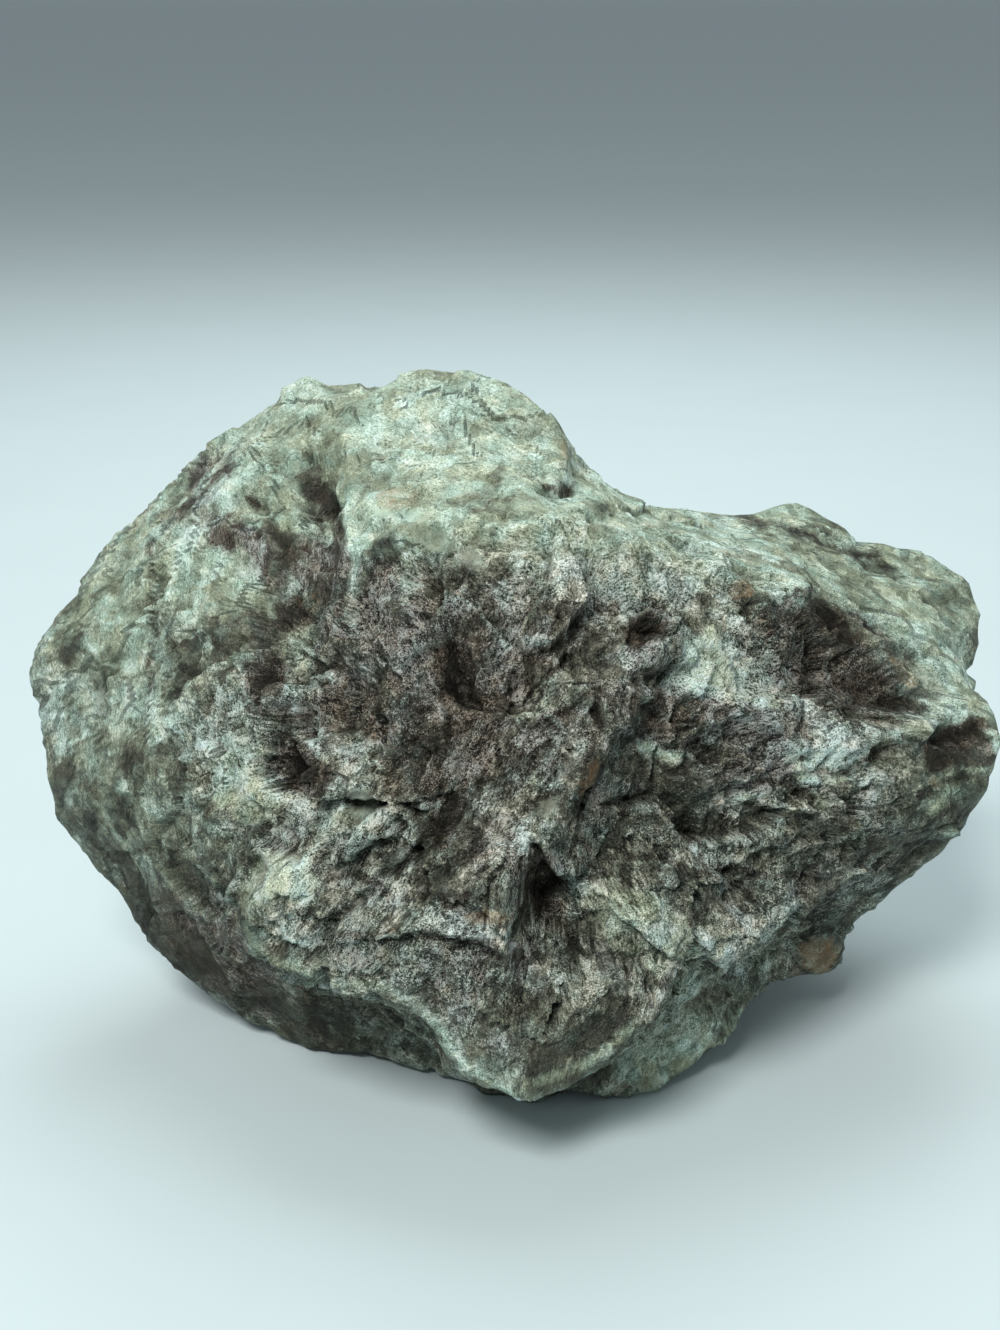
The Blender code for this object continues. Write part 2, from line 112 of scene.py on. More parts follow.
UNDERCUT = (
    (-29.2, -22.9, -5), (-33.1, -25.8, -10), (-27.2, -28.0, -6), (-25.6, -31.6, -8),
    (-20.5, -31.6, -4), (-15.0, -33.0, -3), (-10.2, -34.0, -2), (-6.2, -37.8, -1),
    (-19.5, -35.6, -7), (-13.6, -36.3, -5), (9.2, -39.4, 2), (13.9, -37.6, 1),
    (18.0, -33.6, 1), (21.8, -30.6, -2), (25.3, -28.6, -5), (29.2, -26.8, -8),
    (19.5, -36.8, -1), (27.3, -26.0, -6),
)
BROW = (
    (-16.6, 25.8, -9), (-15.1, 19.0, -3), (-13.4, 10.2, 5), (-9.7, 12.7, 7),
    (-4.9, 12.2, 8), (0.0, 13.1, 8), (4.9, 13.3, 8), (8.8, 13.9, 6),
    (14.6, 12.3, 5), (21.4, 9.7, 3), (25.3, 6.8, 2), (30.7, 7.8, -3),
    (36.6, 3.0, -5), (41.8, -2.0, -6),
)
TOP_FACE = (
    (-9.7, 21.9, -3), (-1.9, 22.9, -3), (-6.8, 16.1, 4), (1.9, 18.0, 3),
    (5.8, 16.1, 2), (13.6, 13.9, -2), (19.5, 12.7, -6), (28.2, 10.6, -12),
    (36.0, 6.3, -14), (41.9, 3.4, -14), (34.1, 9.0, -18), (25.3, 12.8, -16),
)
LEFT_FLANK = (
    (-34.1, 10.2, -10), (-34.6, 2.4, -7), (-39.5, 3.0, -11), (-38.0, -5.4, -9),
    (-34.1, -9.3, -4), (-39.0, -13.1, -9), (-32.1, -18.0, -5), (-28.2, 14.1, -7),
    (-24.4, 21.4, -9), (-22.4, 14.1, -3), (-26.3, 2.4, 0), (-19.5, 4.4, -1),
    (-24.4, -9.3, 4), (-20.5, -18.0, 9), (-29.2, -13.1, 1), (-17.5, -5.4, 4),
)
FRONT_FACE = (
    (-9.7, 4.4, 11), (-4.9, 0.5, 10), (-2.9, -4.4, 10), (3.9, 4.4, 12),
    (9.7, 2.4, 12), (15.6, 2.4, 11), (9.7, -7.3, 14), (3.9, -15.4, 16),
    (0.4, -21.4, 17), (-9.7, -9.3, 11), (-14.6, -19.0, 12), (-5.8, -18.0, 13),
    (-7.8, -25.8, 15), (0.0, -27.4, 16), (4.6, -22.9, 11), (14.0, -25.0, 12.5),
    (8.7, -31.7, 15.5), (0.0, -34.6, 17), (19.5, -12.6, 10), (13.6, -12.0, 10.5),
    (8.6, -18.6, 10), (15.2, -18.2, 8.5), (20.8, -19.0, 6.5), (21.4, -24.0, 9),
    (27.3, -9.3, 7), (19.5, -1.5, 9), (27.4, 1.0, 3), (34.6, -6.4, 2),
    (35.1, -12.2, 3), (42.9, -9.3, -3), (27.3, -17.4, 4.5), (39.0, -15.1, 1),
    (40.6, -6.2, -2),
)
WINDOW = (
    (30.6, 5.2, -7), (35.6, 0.6, -8), (39.6, -3.4, -7), (34.6, -3.6, -4),
    (30.4, 0.2, -3),
)

# Corners of the hidden side: (x, y, z) in the stone's frame, in mm.

BACK = (
    (-39.0, 21.5, 40.5), (-33.0, 21.0, 30.0), (-25.0, 23.0, 52.0), (-18.0, 32.0, 38.0),
    (-22.0, 29.0, 18.0), (-6.0, 27.0, 55.0), (-3.0, 35.0, 42.0), (-5.0, 33.0, 20.0),
    (9.0, 26.0, 47.0), (12.0, 33.0, 30.0), (15.0, 29.0, 12.0), (25.0, 31.0, 40.0),
    (28.0, 32.0, 24.0), (31.0, 23.0, 13.0), (40.0, 27.0, 36.0), (41.0, 18.0, 21.0),
    (-36.0, 11.0, 20.0), (-30.0, 13.0, 8.0),
)
UNDERSIDE = (
    (-12.0, -5.0, -0.8), (-11.0, 19.0, -0.8), (-22.0, 7.0, 1.4), (1.0, -8.0, -0.8),
    (4.0, 18.0, -0.8), (12.0, 7.0, -0.8), (13.0, -11.0, 0.8), (22.0, 11.0, 5.0),
    (19.0, 22.0, 4.0), (31.0, 9.0, 12.0), (-4.0, 27.0, 3.6), (-14.0, -14.0, 2.2),
)

# A hollow is (right, up, half length, half width, turn in degrees, depth), and a knob is one with
# a negative depth.
HOLLOWS = (
    (-20.0, -10.2, 3.0, 2.0, 100, 3.0),
    (-23.4, 1.0, 4.2, 2.2, 95, 1.6),
    (-18.2, 15.1, 6.4, 2.0, 94, 1.7),
    (-23.9, 16.1, 1.1, 0.9, 0, 1.1),
    (-20.5, 5.8, 1.1, 0.9, 0, 1.2),
    (-14.5, -3.0, 4.5, 2.6, 110, 1.5),
    (-4.2, -0.8, 3.4, 1.6, 95, 1.6),
    (2.4, -2.0, 2.6, 1.6, 60, 1.2),
    (4.2, -21.4, 4.6, 2.2, 112, 1.6),
    (14.4, 3.4, 2.2, 1.6, 40, 1.2),
    (15.8, -1.6, 4.2, 1.7, 5, 1.1),
    (21.5, -8.0, 4.0, 2.4, 30, 1.3),
    (35.2, 0.2, 5.6, 2.8, -42, 1.0),
    (45.0, -7.2, 3.4, 1.8, 10, 1.5),
    (5.8, 17.0, 1.9, 0.8, 0, 1.2),
    (-6.6, 9.2, 4.0, 1.6, -12, 1.0),
    (10.0, 8.4, 3.2, 1.7, 70, 1.0),
    (-17.0, -30.6, 1.5, 1.0, 60, 1.6),
    (8.6, -27.0, 3.4, 1.6, 40, 1.1),
    (-39.5, -2.0, 3.2, 1.6, 100, 0.9),
    (-31.0, -7.0, 3.4, 1.8, 60, 1.0),
    (-20.5, -22.9, 4.6, 4.0, 90, -1.5),
    (31.2, -28.2, 2.4, 2.0, 0, -1.4),
    (-11.2, 14.8, 3.0, 2.2, 20, -0.8),
    (26.5, -4.6, 2.6, 2.2, 0, -1.2),
    (-19.3, 27.4, 1.9, 1.2, 30, -0.6),
)

# A ridge is (line of sights, height, half width above the line, half width below it).
RIDGES = (
    (tuple(corner[:2] for corner in CREST), 1.1, 1.6, 0.5),
    (((15.6, 1.5), (9.7, -8.3), (3.9, -17.0), (0.6, -22.4)), 1.2, 2.4, 1.4),
    (((4.8, -18.2), (9.2, -19.4), (15.2, -18.4), (20.0, -19.8)), 1.2, 0.6, 2.2),
    (((-14.6, -25.6), (-7.8, -25.3), (-2.9, -25.8), (1.9, -27.3), (2.9, -28.7)), 1.3, 1.8, 0.4),
    (((-14.6, 21.0), (-14.2, 10.0), (-15.2, 1.5)), 1.3, 1.6, 1.2),
    (((-29.0, -16.5), (-24.0, -12.5), (-21.0, -14.0)), 0.9, 1.6, 0.5),
    (((23.0, -5.0), (30.0, -8.6), (38.0, -8.0), (44.0, -3.6)), 1.1, 1.8, 0.6),
    (((21.4, 8.4), (25.3, 5.6), (27.0, 1.4)), 1.2, 1.6, 0.7),
    (((-12.0, 11.6), (-6.0, 13.6), (1.0, 13.4), (8.0, 14.4)), 0.8, 1.6, 0.6),
    (((16.0, -22.0), (24.0, -17.5), (33.0, -15.6)), 0.9, 1.6, 0.6),
    (((21.5, 15.2), (29.0, 13.2), (38.0, 9.6)), -1.4, 0.9, 0.9),
    (((-33.8, 8.8), (-33.6, 2.4), (-34.3, -3.0)), -0.7, 0.8, 0.8),
    (((-4.7, -13.2), (-7.3, -18.0), (-12.2, -21.9), (-16.6, -25.3)), -1.3, 0.8, 1.1),
    (((-1.9, -16.6), (-5.8, -20.0), (-9.7, -22.9)), -0.8, 0.6, 0.8),
    (((-10.2, -16.0), (-14.6, -19.8), (-17.5, -21.0)), -0.9, 0.6, 0.8),
    (((-19.8, 5.0), (-19.2, -2.0), (-20.8, -7.6)), 1.1, 2.4, 0.7),
    (((-22.0, -12.4), (-23.4, -17.0), (-24.6, -21.4)), 1.0, 2.0, 0.8),
)


# Patches of colour on the front, as sights: (right, up, half length, half width, turn, strength).
# Some pale patches are painted light: those at (12.7, -24.4) on the bulge and (19.0, -36.5) on the
# foot lighten parts that the lamps leave darker.
PALE_AND_LIT_PATCHES = (
    (-7.0, 22.0, 17.0, 8.5, -10, 0.85), (28.0, 11.0, 22.0, 4.6, -15, 1.0),
    (2.0, 13.5, 14.0, 5.4, -10, 1.0), (20.5, 0.8, 3.0, 4.4, 8, 0.95),
    (34.1, -9.2, 6.5, 4.0, -20, 0.9), (38.5, -10.5, 4.5, 3.0, 0, 0.85),
    (-20.5, -22.9, 4.0, 4.8, 0, 0.45), (12.7, -24.4, 6.5, 4.2, -10, 0.65),
    (-21.4, -10.7, 4.5, 7.0, 10, 0.2), (-37.0, 4.4, 2.8, 5.8, 5, 0.55),
    (-34.0, -9.0, 8.0, 12.0, 10, 0.28), (-26.5, -15.5, 4.5, 4.5, 0, 0.6),
    (5.0, 5.6, 8.0, 6.5, 0, 1.0), (31.5, 9.4, 10.0, 3.6, -18, 1.1),
    (39.5, 2.0, 4.0, 3.0, -40, 0.6), (20.0, -28.5, 9.0, 3.6, 12, 0.95),
    (41.5, -12.0, 4.5, 2.0, 10, 0.8), (-14.0, 18.5, 2.6, 3.4, -20, 1.0),
    (-12.0, -25.4, 5.0, 0.9, 2, 0.7), (-1.0, -25.6, 3.4, 0.8, -12, 0.7),
    (44.0, -1.0, 3.4, 2.4, -50, 0.7), (19.0, -36.5, 9.0, 5.0, 50, 0.6),
    (10.5, 0.5, 4.0, 4.5, 0, 0.5),
)
BROWN_PATCHES = (
    (-1.0, -2.0, 17.0, 12.0, -20, 0.8), (20.0, -9.0, 12.0, 6.5, 18, 0.6),
    (1.0, -32.0, 11.0, 7.5, 0, 0.3), (34.0, 0.6, 7.6, 4.1, -38, 1.25),
    (14.4, 3.4, 2.6, 1.9, 40, 1.2), (15.8, -1.6, 4.4, 1.9, 5, 0.6),
    (45.0, -7.2, 3.6, 2.0, 10, 1.2), (-20.0, -10.2, 2.8, 2.0, 100, 1.2),
    (-3.4, -0.5, 4.2, 2.8, 80, 1.1), (5.8, 17.0, 2.1, 0.9, 0, 1.1),
    (3.2, -20.6, 5.6, 2.0, 112, 1.1), (-23.4, 1.0, 4.2, 2.0, 95, 0.9),
    (-17.8, 12.5, 8.0, 2.7, 97, 1.1), (-27.0, 15.0, 5.0, 8.0, 30, 0.9),
    (31.0, 12.4, 9.0, 1.2, -17, 1.0), (35.0, -19.0, 9.0, 3.0, 40, 0.4),
    (3.0, 18.5, 3.0, 1.4, 0, 0.6), (26.3, 13.2, 3.5, 1.8, -10, 0.6),
    (-2.9, -15.5, 3.0, 4.0, 20, 0.7), (-27.5, -27.5, 9.0, 4.0, -40, 0.7),
)
RUST_PATCHES = (
    (-1.5, -24.6, 2.2, 0.9, 0, 1.0), (6.8, 21.9, 2.6, 1.2, 80, 0.8),
    (-9.7, 16.0, 2.4, 1.5, 0, 0.7), (23.4, 7.3, 1.7, 1.3, 0, 0.9),
    (39.6, -1.2, 2.8, 1.0, -45, 0.9), (31.2, -28.2, 2.6, 2.0, 0, 1.0),
    (-24.0, 24.0, 5.0, 1.4, 40, 0.5), (-34.0, 13.0, 3.4, 1.2, 50, 0.5),
    (3.0, -11.0, 3.0, 1.2, 60, 0.4), (-11.0, -29.0, 5.0, 1.4, -5, 0.5),
)

# Zones of dark hollows, whose darkness is partly painted shade, pale crusts and smooth grains on
# the front: how deep inside a zone still counts, in mm, and its outline as sights (right, up). A
# low limit makes a fainter zone.
DARK_AND_SHADED_ZONES = (
    (-0.06, ((24.6, 3.1), (27.0, 6.2), (30.4, 7.5), (32.9, 5.7), (35.1, 3.2), (36.3, 1.0),
             (37.8, -0.7), (39.0, -2.4), (40.1, -4.6), (37.3, -5.7), (34.2, -5.3),
             (31.2, -3.4), (28.6, -2.2), (28.0, 0.6), (26.7, 2.1))),
    (0.3, ((41.0, -7.8), (43.5, -6.2), (46.9, -5.0), (48.1, -7.2), (47.8, -9.6), (44.7, -9.9),
           (42.3, -10.2))),
    (3.0, ((-6.0, 2.0), (-4.6, 1.9), (-3.2, 0.6), (-2.8, -1.6), (-4.2, -3.0), (-5.8, -3.4),
           (-5.9, -1.3))),
    (3.0, ((-22.4, -8.3), (-18.8, -7.9), (-16.9, -9.6), (-17.6, -12.8), (-20.8, -11.6))),
    (-0.15, ((1.0, -21.6), (2.2, -19.4), (4.6, -18.0), (5.6, -19.6), (5.4, -22.4), (6.8, -25.6),
             (5.2, -26.6), (2.6, -24.4))),
    (-0.1, ((12.1, 3.4), (13.4, 5.0), (15.5, 5.0), (15.9, 2.7), (13.6, 1.9))),
    (-0.1, ((13.6, -4.4), (15.5, -2.8), (18.6, -2.5), (19.9, -4.4), (17.4, -6.5), (14.3, -6.5))),
    (0.8, ((-21.8, 6.0), (-19.3, 6.6), (-18.5, 4.8), (-20.4, 3.5), (-21.6, 4.6))),
    (0.8, ((-25.0, -0.3), (-21.7, 0.6), (-21.3, -2.4), (-24.0, -3.7))),
    (-0.1, ((-8.2, -22.5), (-5.7, -22.3), (-3.1, -22.5), (-3.3, -23.0), (-5.8, -22.9),
            (-8.0, -23.0))),
    (0.5, ((-24.6, 16.7), (-23.5, 17.0), (-23.1, 15.8), (-24.2, 15.4))),
    (0.0, ((4.0, 17.5), (5.5, 17.3), (7.4, 17.8), (7.2, 16.9), (5.6, 16.5), (4.2, 16.9))),
    (0.0, ((-5.8, -2.5), (-0.6, -1.5), (0.2, -5.0), (-1.5, -8.5), (-5.2, -8.0))),
    (0.0, ((-17.4, -2.0), (-12.0, -1.6), (-11.6, -6.6), (-16.8, -7.0))),
    (-0.05, ((-11.5, -7.5), (-5.8, -7.0), (-5.4, -12.6), (-11.0, -12.6))),
    (3.0, ((-5.4, -12.4), (-3.2, -11.8), (-3.6, -15.4), (-5.8, -17.8), (-7.0, -16.0))),
)
PALE_ZONES = (
    (3.0, ((17.7, 3.1), (21.1, 4.0), (23.6, 1.6), (24.6, -2.2), (27.4, -2.8), (27.0, -4.1),
           (21.7, -3.7), (16.8, -2.2), (14.3, -1.6), (17.4, 0.0))),
    (0.7, ((27.4, -8.4), (29.8, -7.8), (32.9, -7.2), (36.3, -8.8), (41.6, -9.6), (40.1, -10.9),
           (36.3, -9.9), (32.9, -12.2), (30.4, -11.5), (27.7, -10.6))),
    (0.6, ((-29.2, -7.2), (-24.6, -6.7), (-22.4, -8.3), (-21.4, -10.6), (-20.7, -13.5),
           (-22.4, -15.3), (-24.8, -16.7), (-27.7, -14.0))),
    (1.0, ((-24.0, -17.6), (-20.7, -17.9), (-17.7, -18.2), (-18.8, -20.1), (-17.0, -21.3),
           (-18.0, -23.7), (-21.4, -23.2), (-24.0, -24.8), (-24.6, -21.9))),
    (0.5, ((7.0, -21.0), (10.7, -20.2), (14.6, -21.3), (18.5, -24.4), (19.9, -27.8),
           (16.8, -29.9), (12.7, -30.3), (9.7, -27.8), (8.2, -24.4))),
    (0.25, ((-17.0, -10.6), (-14.6, -9.4), (-12.3, -10.3), (-12.6, -12.0), (-15.4, -12.5))),
    (0.05, ((-10.1, -23.4), (-7.0, -23.3), (-3.1, -23.2), (-0.8, -24.0), (1.2, -25.4),
            (2.4, -28.4), (-1.1, -26.4), (-5.7, -25.7), (-10.4, -25.7))),
    (0.15, ((5.5, -0.2), (8.1, -0.2), (8.6, -2.8), (6.0, -4.7), (2.0, -4.9), (2.0, -3.6))),
    (0.2, ((-21.9, 2.9), (-18.8, 3.2), (-17.7, -0.2), (-18.2, -1.5), (-19.3, -4.7),
           (-19.3, -7.8), (-21.0, -7.8), (-20.7, -4.1), (-21.4, -0.2))),
    (0.0, ((5.8, -6.6), (8.4, -8.4), (7.0, -12.6), (4.4, -16.4), (0.4, -19.8), (-4.6, -22.4),
           (-5.4, -21.4), (-0.6, -18.0), (2.0, -12.6))),
    (0.3, ((0.8, 13.0), (5.8, 13.4), (9.7, 11.7), (8.8, 9.3), (3.9, 7.3), (1.2, 8.8))),
    (0.8, ((21.6, -12.3), (22.9, -12.0), (26.9, -12.5), (27.2, -13.5), (24.2, -13.9),
           (20.7, -13.8))),
    (0.7, ((12.6, -7.2), (16.0, -7.4), (19.8, -8.4), (16.2, -9.8), (13.4, -8.8))),
    (1.0, ((29.2, -13.6), (31.8, -12.4), (34.6, -13.6), (31.8, -15.3))),
    (0.6, ((40.2, -13.5), (42.9, -12.8), (43.8, -13.9), (41.6, -14.6))),
)
GLASS_ZONES = (
    (3.0, ((-9.6, 15.0), (-8.3, 15.8), (-7.0, 14.7), (-7.5, 13.2), (-9.1, 13.4))),
    (3.0, ((-8.0, 12.9), (-5.9, 13.4), (-4.4, 11.8), (-4.9, 10.8), (-7.0, 11.3))),
    (3.0, ((-4.1, 11.0), (-2.3, 11.0), (-1.6, 10.2), (-1.8, 9.3), (-3.3, 9.0))),
    (3.0, ((-12.5, 15.0), (-10.9, 15.5), (-9.8, 15.0), (-11.7, 14.2))),
    (3.0, ((-14.6, -12.0), (-12.6, -12.0), (-12.0, -13.5), (-12.3, -15.3), (-14.1, -15.6),
           (-14.9, -13.7))),
    (3.0, ((2.8, -14.3), (4.7, -12.9), (6.0, -13.2), (5.5, -14.3), (3.4, -14.8))),
)

# Thin dark lines on the front, which are cracks and painted shadow lines under ledges, and thin
# rims painted lighter as highlights, as lines of sights: (right, up).
CRACKS_AND_SHADOW_LINES = (
    ((-34.1, 12.0), (-33.9, 6.3), (-33.6, 2.4), (-34.3, -2.7)),
    ((-20.5, -2.9), (-20.6, -6.8), (-19.5, -8.8)),
    ((-5.1, -13.2), (-5.8, -15.1), (-8.3, -18.0), (-10.2, -20.5)),
    ((-16.8, -21.2), (-14.6, -20.1), (-11.7, -21.4), (-10.7, -22.9)),
    ((-16.0, -26.4), (-11.7, -26.1), (-8.8, -26.0), (-5.8, -26.5), (-1.9, -27.0), (0.0, -28.4)),
    ((2.9, -13.6), (3.9, -12.9), (5.7, -12.4)),
    ((9.3, -7.3), (8.8, -9.3), (7.8, -12.2), (7.8, -16.1), (8.8, -18.0)),
    ((5.8, -17.5), (9.7, -20.0), (12.7, -21.0)),
    ((-5.8, 1.4), (-6.0, -1.8), (-5.4, -2.6)),
    ((23.4, -9.3), (25.3, -11.0), (29.2, -12.0), (30.4, -13.2), (29.7, -15.0)),
    ((29.8, -10.0), (32.4, -10.6), (34.4, -10.0), (36.6, -8.6)),
    ((36.1, -6.4), (39.0, -5.6), (41.4, -4.0)),
    ((40.9, -12.7), (42.9, -11.7), (45.6, -10.8)),
    ((22.9, -19.9), (25.3, -20.4), (29.2, -20.6)),
    ((-16.4, 17.0), (-15.4, 11.0), (-15.6, 5.0)),
    ((-25.0, -2.6), (-24.4, -4.2), (-22.4, -4.6)),
    ((12.6, -18.6), (16.0, -18.9), (19.0, -20.3), (21.6, -20.0)),
    ((21.5, 15.0), (25.5, 13.8), (29.5, 12.8), (34.0, 11.0), (38.5, 9.2)),
)
# Rims painted lighter as highlights along the crest, edges and ledges.
HIGHLIGHT_RIMS = (
    tuple(corner[:2] for corner in CREST),
    ((-24.4, -22.4), (-24.6, -24.8), (-23.9, -28.7)),
    ((-16.6, -26.0), (-15.1, -25.0), (-10.7, -24.2), (-9.3, -23.3)),
    ((-1.9, -26.3), (-0.5, -27.3), (1.5, -28.7), (2.4, -29.2)),
    ((8.6, -7.8), (6.8, -9.3), (5.8, -12.2), (4.4, -15.1), (1.9, -18.0)),
    ((-14.6, 21.0), (-13.8, 12.0), (-14.4, 4.0)),
)

# The lie of the fibres on the front, as sights: (right, up, reach, turn in degrees).
FIBRE_LIES = (
    (-30.0, 8.0, 9.0, 103), (-40.0, -5.0, 8.0, 98), (-28.0, -15.0, 8.0, 112),
    (-8.0, 24.0, 8.0, -35), (5.0, 18.0, 6.0, -28), (30.0, 10.0, 10.0, -16),
    (-3.0, 12.0, 6.0, -20), (-15.0, 12.0, 5.0, 92), (-14.0, -4.0, 6.0, -38),
    (3.0, -6.0, 8.0, 62), (-8.0, -22.0, 7.0, 42), (13.0, -23.0, 6.0, 96),
    (28.0, -7.0, 8.0, 24), (42.0, -8.0, 7.0, 18), (3.0, -34.0, 7.0, 70),
    (-22.0, -34.0, 8.0, -20), (18.0, -36.0, 7.0, 48), (14.0, 5.0, 5.0, 70),
)


# ---- Measures -------------------------------------------------------------------------------


def unit(vectors: Array) -> Array:
    """Each vector divided by its length."""
    return vectors / np.linalg.norm(vectors, axis=-1, keepdims=True)


def smooth_step(low: float, high: float, value: Array) -> Array:
    """0 below low, 1 above high, and the eased rise 3 t^2 - 2 t^3 between them."""
    share = np.clip((value - low) / (high - low), 0.0, 1.0)
    return share * share * (3.0 - 2.0 * share)


def stretch_distance(right: Array, up: Array, start: Spot, end: Spot) -> Array:
    """Distance from points to a straight stretch on the plane of sight.

    The nearest point of the stretch is start + share (end - start), where share is how far along
    the stretch a point stands, kept from 0 to 1.

    Args:
        right: how far right each point stands, in mm.
        up: how far up each point stands, in mm.
        start: one end of the stretch.
        end: its other end.

    Returns:
        The distances, in mm.
    """
    run = end[0] - start[0]
    rise = end[1] - start[1]
    share = ((right - start[0]) * run + (up - start[1]) * rise) / (run * run + rise * rise)
    share = np.clip(share, 0.0, 1.0)
    return np.hypot(right - start[0] - share * run, up - start[1] - share * rise)


@dataclass(frozen=True)
class Sight:
    """The point from which the front is surveyed, which is also where the camera stands.

    Attributes:
        pitch: how far the line of sight slopes down, in degrees.
        reach: from the eye to the plane of sight, in mm.
        middle: where the line of sight meets that plane, in mm.
        lens: focal length in mm for a film this many mm on its long side.
        film: the film's long side in mm.
        clip: the nearest and the farthest thing that the camera shows, in metres.
    """

    pitch: float = 20.0
    reach: float = 180.0
    middle: tuple[float, float, float] = (-1.2, -6.5, 39.9)
    lens: float = 50.0
    film: float = 36.0
    clip: tuple[float, float] = (0.01, 200.0)

    @property
    def axes(self) -> Array:
        """The sight's own directions in the stone's frame.

        Returns:
            Rows: to the right, to the top and towards the viewer.
        """
        slope = np.radians(self.pitch)
        return np.array(
            [
                [1.0, 0.0, 0.0],
                [0.0, np.sin(slope), np.cos(slope)],
                [0.0, -np.cos(slope), np.sin(slope)],
            ]
        )

    def to_stone(self, sights: Array) -> Array:
        """Places of sights, along rays that meet at the eye: right and up shrink as near grows.

        Args:
            sights: rows of right, up and near, in mm.

        Returns:
            Rows of x, y and z in the stone's frame, in mm.
        """
        right, up, near = np.asarray(sights, float).T
        shrink = 1.0 - near / self.reach
        return np.array(self.middle) + np.stack([right * shrink, up * shrink, near], 1) @ self.axes

    def of_places(self, places: Array) -> Array:
        """Sights of places: the reverse of to_stone.

        Args:
            places: rows of x, y and z in the stone's frame, in mm.

        Returns:
            Rows of right, up and near, in mm.
        """
        right, up, near = ((places - np.array(self.middle)) @ self.axes.T).T
        shrink = 1.0 - near / self.reach
        return np.stack([right / shrink, up / shrink, near], axis=1)

    def make_camera(self) -> bpy.types.Object:
        """A camera at the eye that looks along the line of sight.

        Returns:
            The camera, which the scene then uses.
        """
        data = bpy.data.cameras.new("camera")
        data.lens = self.lens
        data.sensor_width = self.film
        data.clip_start, data.clip_end = self.clip
        camera = bpy.data.objects.new("camera", data)
        bpy.context.scene.collection.objects.link(camera)
        eye = np.array(self.middle) + self.reach * self.axes[2]
        turn = Matrix(self.axes.tolist()).transposed().to_4x4()
        camera.matrix_world = Matrix.Translation(Vector(eye * METRES_PER_MM)) @ turn
        bpy.context.scene.camera = camera
        return camera


# ---- Fixed random fields --------------------------------------------------------------------


class Chance:
    """Random numbers that are fixed by a place and a salt.

    A cell's three numbers and the salt are multiplied by large factors that share no divisor and
    added. ROUNDS are the shift and the factor of each stirring, which keeps the lowest 31 bits;
    the lowest 20 bits of the last are the number's digits.
    """

    SALTS_A_LAYER = 7
    CELL_FACTORS = (73856093, 19349663, 83492791)
    SALT_FACTOR = 2654435
    ROUNDS = ((13, 1274126177), (16, 1911520717), (15, 1367130551))
    KEPT_BITS = 0x7FFFFFFF
    DIGIT_BITS = 0xFFFFF

    @staticmethod
    def value(cells: Array, salt: int) -> Array:
        """A number from 0 to 1 for each whole-numbered cell: its three numbers, hashed.

        Args:
            cells: rows of three whole numbers.
            salt: which of the many fields is wanted.

        Returns:
            One number per cell.
        """
        mixed = cells.astype(np.int64) @ np.array(Chance.CELL_FACTORS)
        mixed = mixed + salt * Chance.SALT_FACTOR
        for shift, factor in Chance.ROUNDS:
            mixed = ((mixed ^ (mixed >> shift)) * factor) & Chance.KEPT_BITS
        return (mixed & Chance.DIGIT_BITS) / (Chance.DIGIT_BITS + 1)

    @classmethod
    def vector(cls, cells: Array, salt: int) -> Array:
        """Three numbers from 0 to 1 for each cell."""
        return np.stack([cls.value(cells, salt + axis) for axis in range(3)], axis=1)

    @classmethod
    def noise(cls, places: Array, size: float, salt: int) -> Array:
        """Smooth noise from -1 to 1: random values at the corners of cubes, eased between.

        Args:
            places: where to look.
            size: the cubes' side, in the unit of the places.
            salt: which field is wanted.

        Returns:
            One number per place.
        """
        scaled = places / size
        home = np.floor(scaled)
        part = scaled - home
        ease = part * part * (3.0 - 2.0 * part)
        total = np.zeros(len(places))
        for corner in itertools.product((0, 1), repeat=3):
            weight = np.prod(np.where(corner, ease, 1.0 - ease), axis=1)
            total += weight * cls.value(home + corner, salt)
        return 2.0 * total - 1.0

    @classmethod
    def noise_vector(cls, places: Array, size: float, salt: int) -> Array:
        """Three noises side by side."""
        return np.stack([cls.noise(places, size, salt + axis) for axis in range(3)], axis=1)

    @classmethod
    def layered(cls, places: Array, size: float, salt: int, layers: int) -> Array:
        """A sum of noises, each half as large and half as strong as the one before.

        Args:
            places: where to look.
            size: the cubes' side in the first noise.
            salt: where the noises' salts start.
            layers: how many noises are summed.

        Returns:
            One number per place, about 0.
        """
        total = np.zeros(len(places))
        for layer in range(layers):
            share = 0.5**layer
            total += share * cls.noise(places, size * share, salt + cls.SALTS_A_LAYER * layer)
        return total


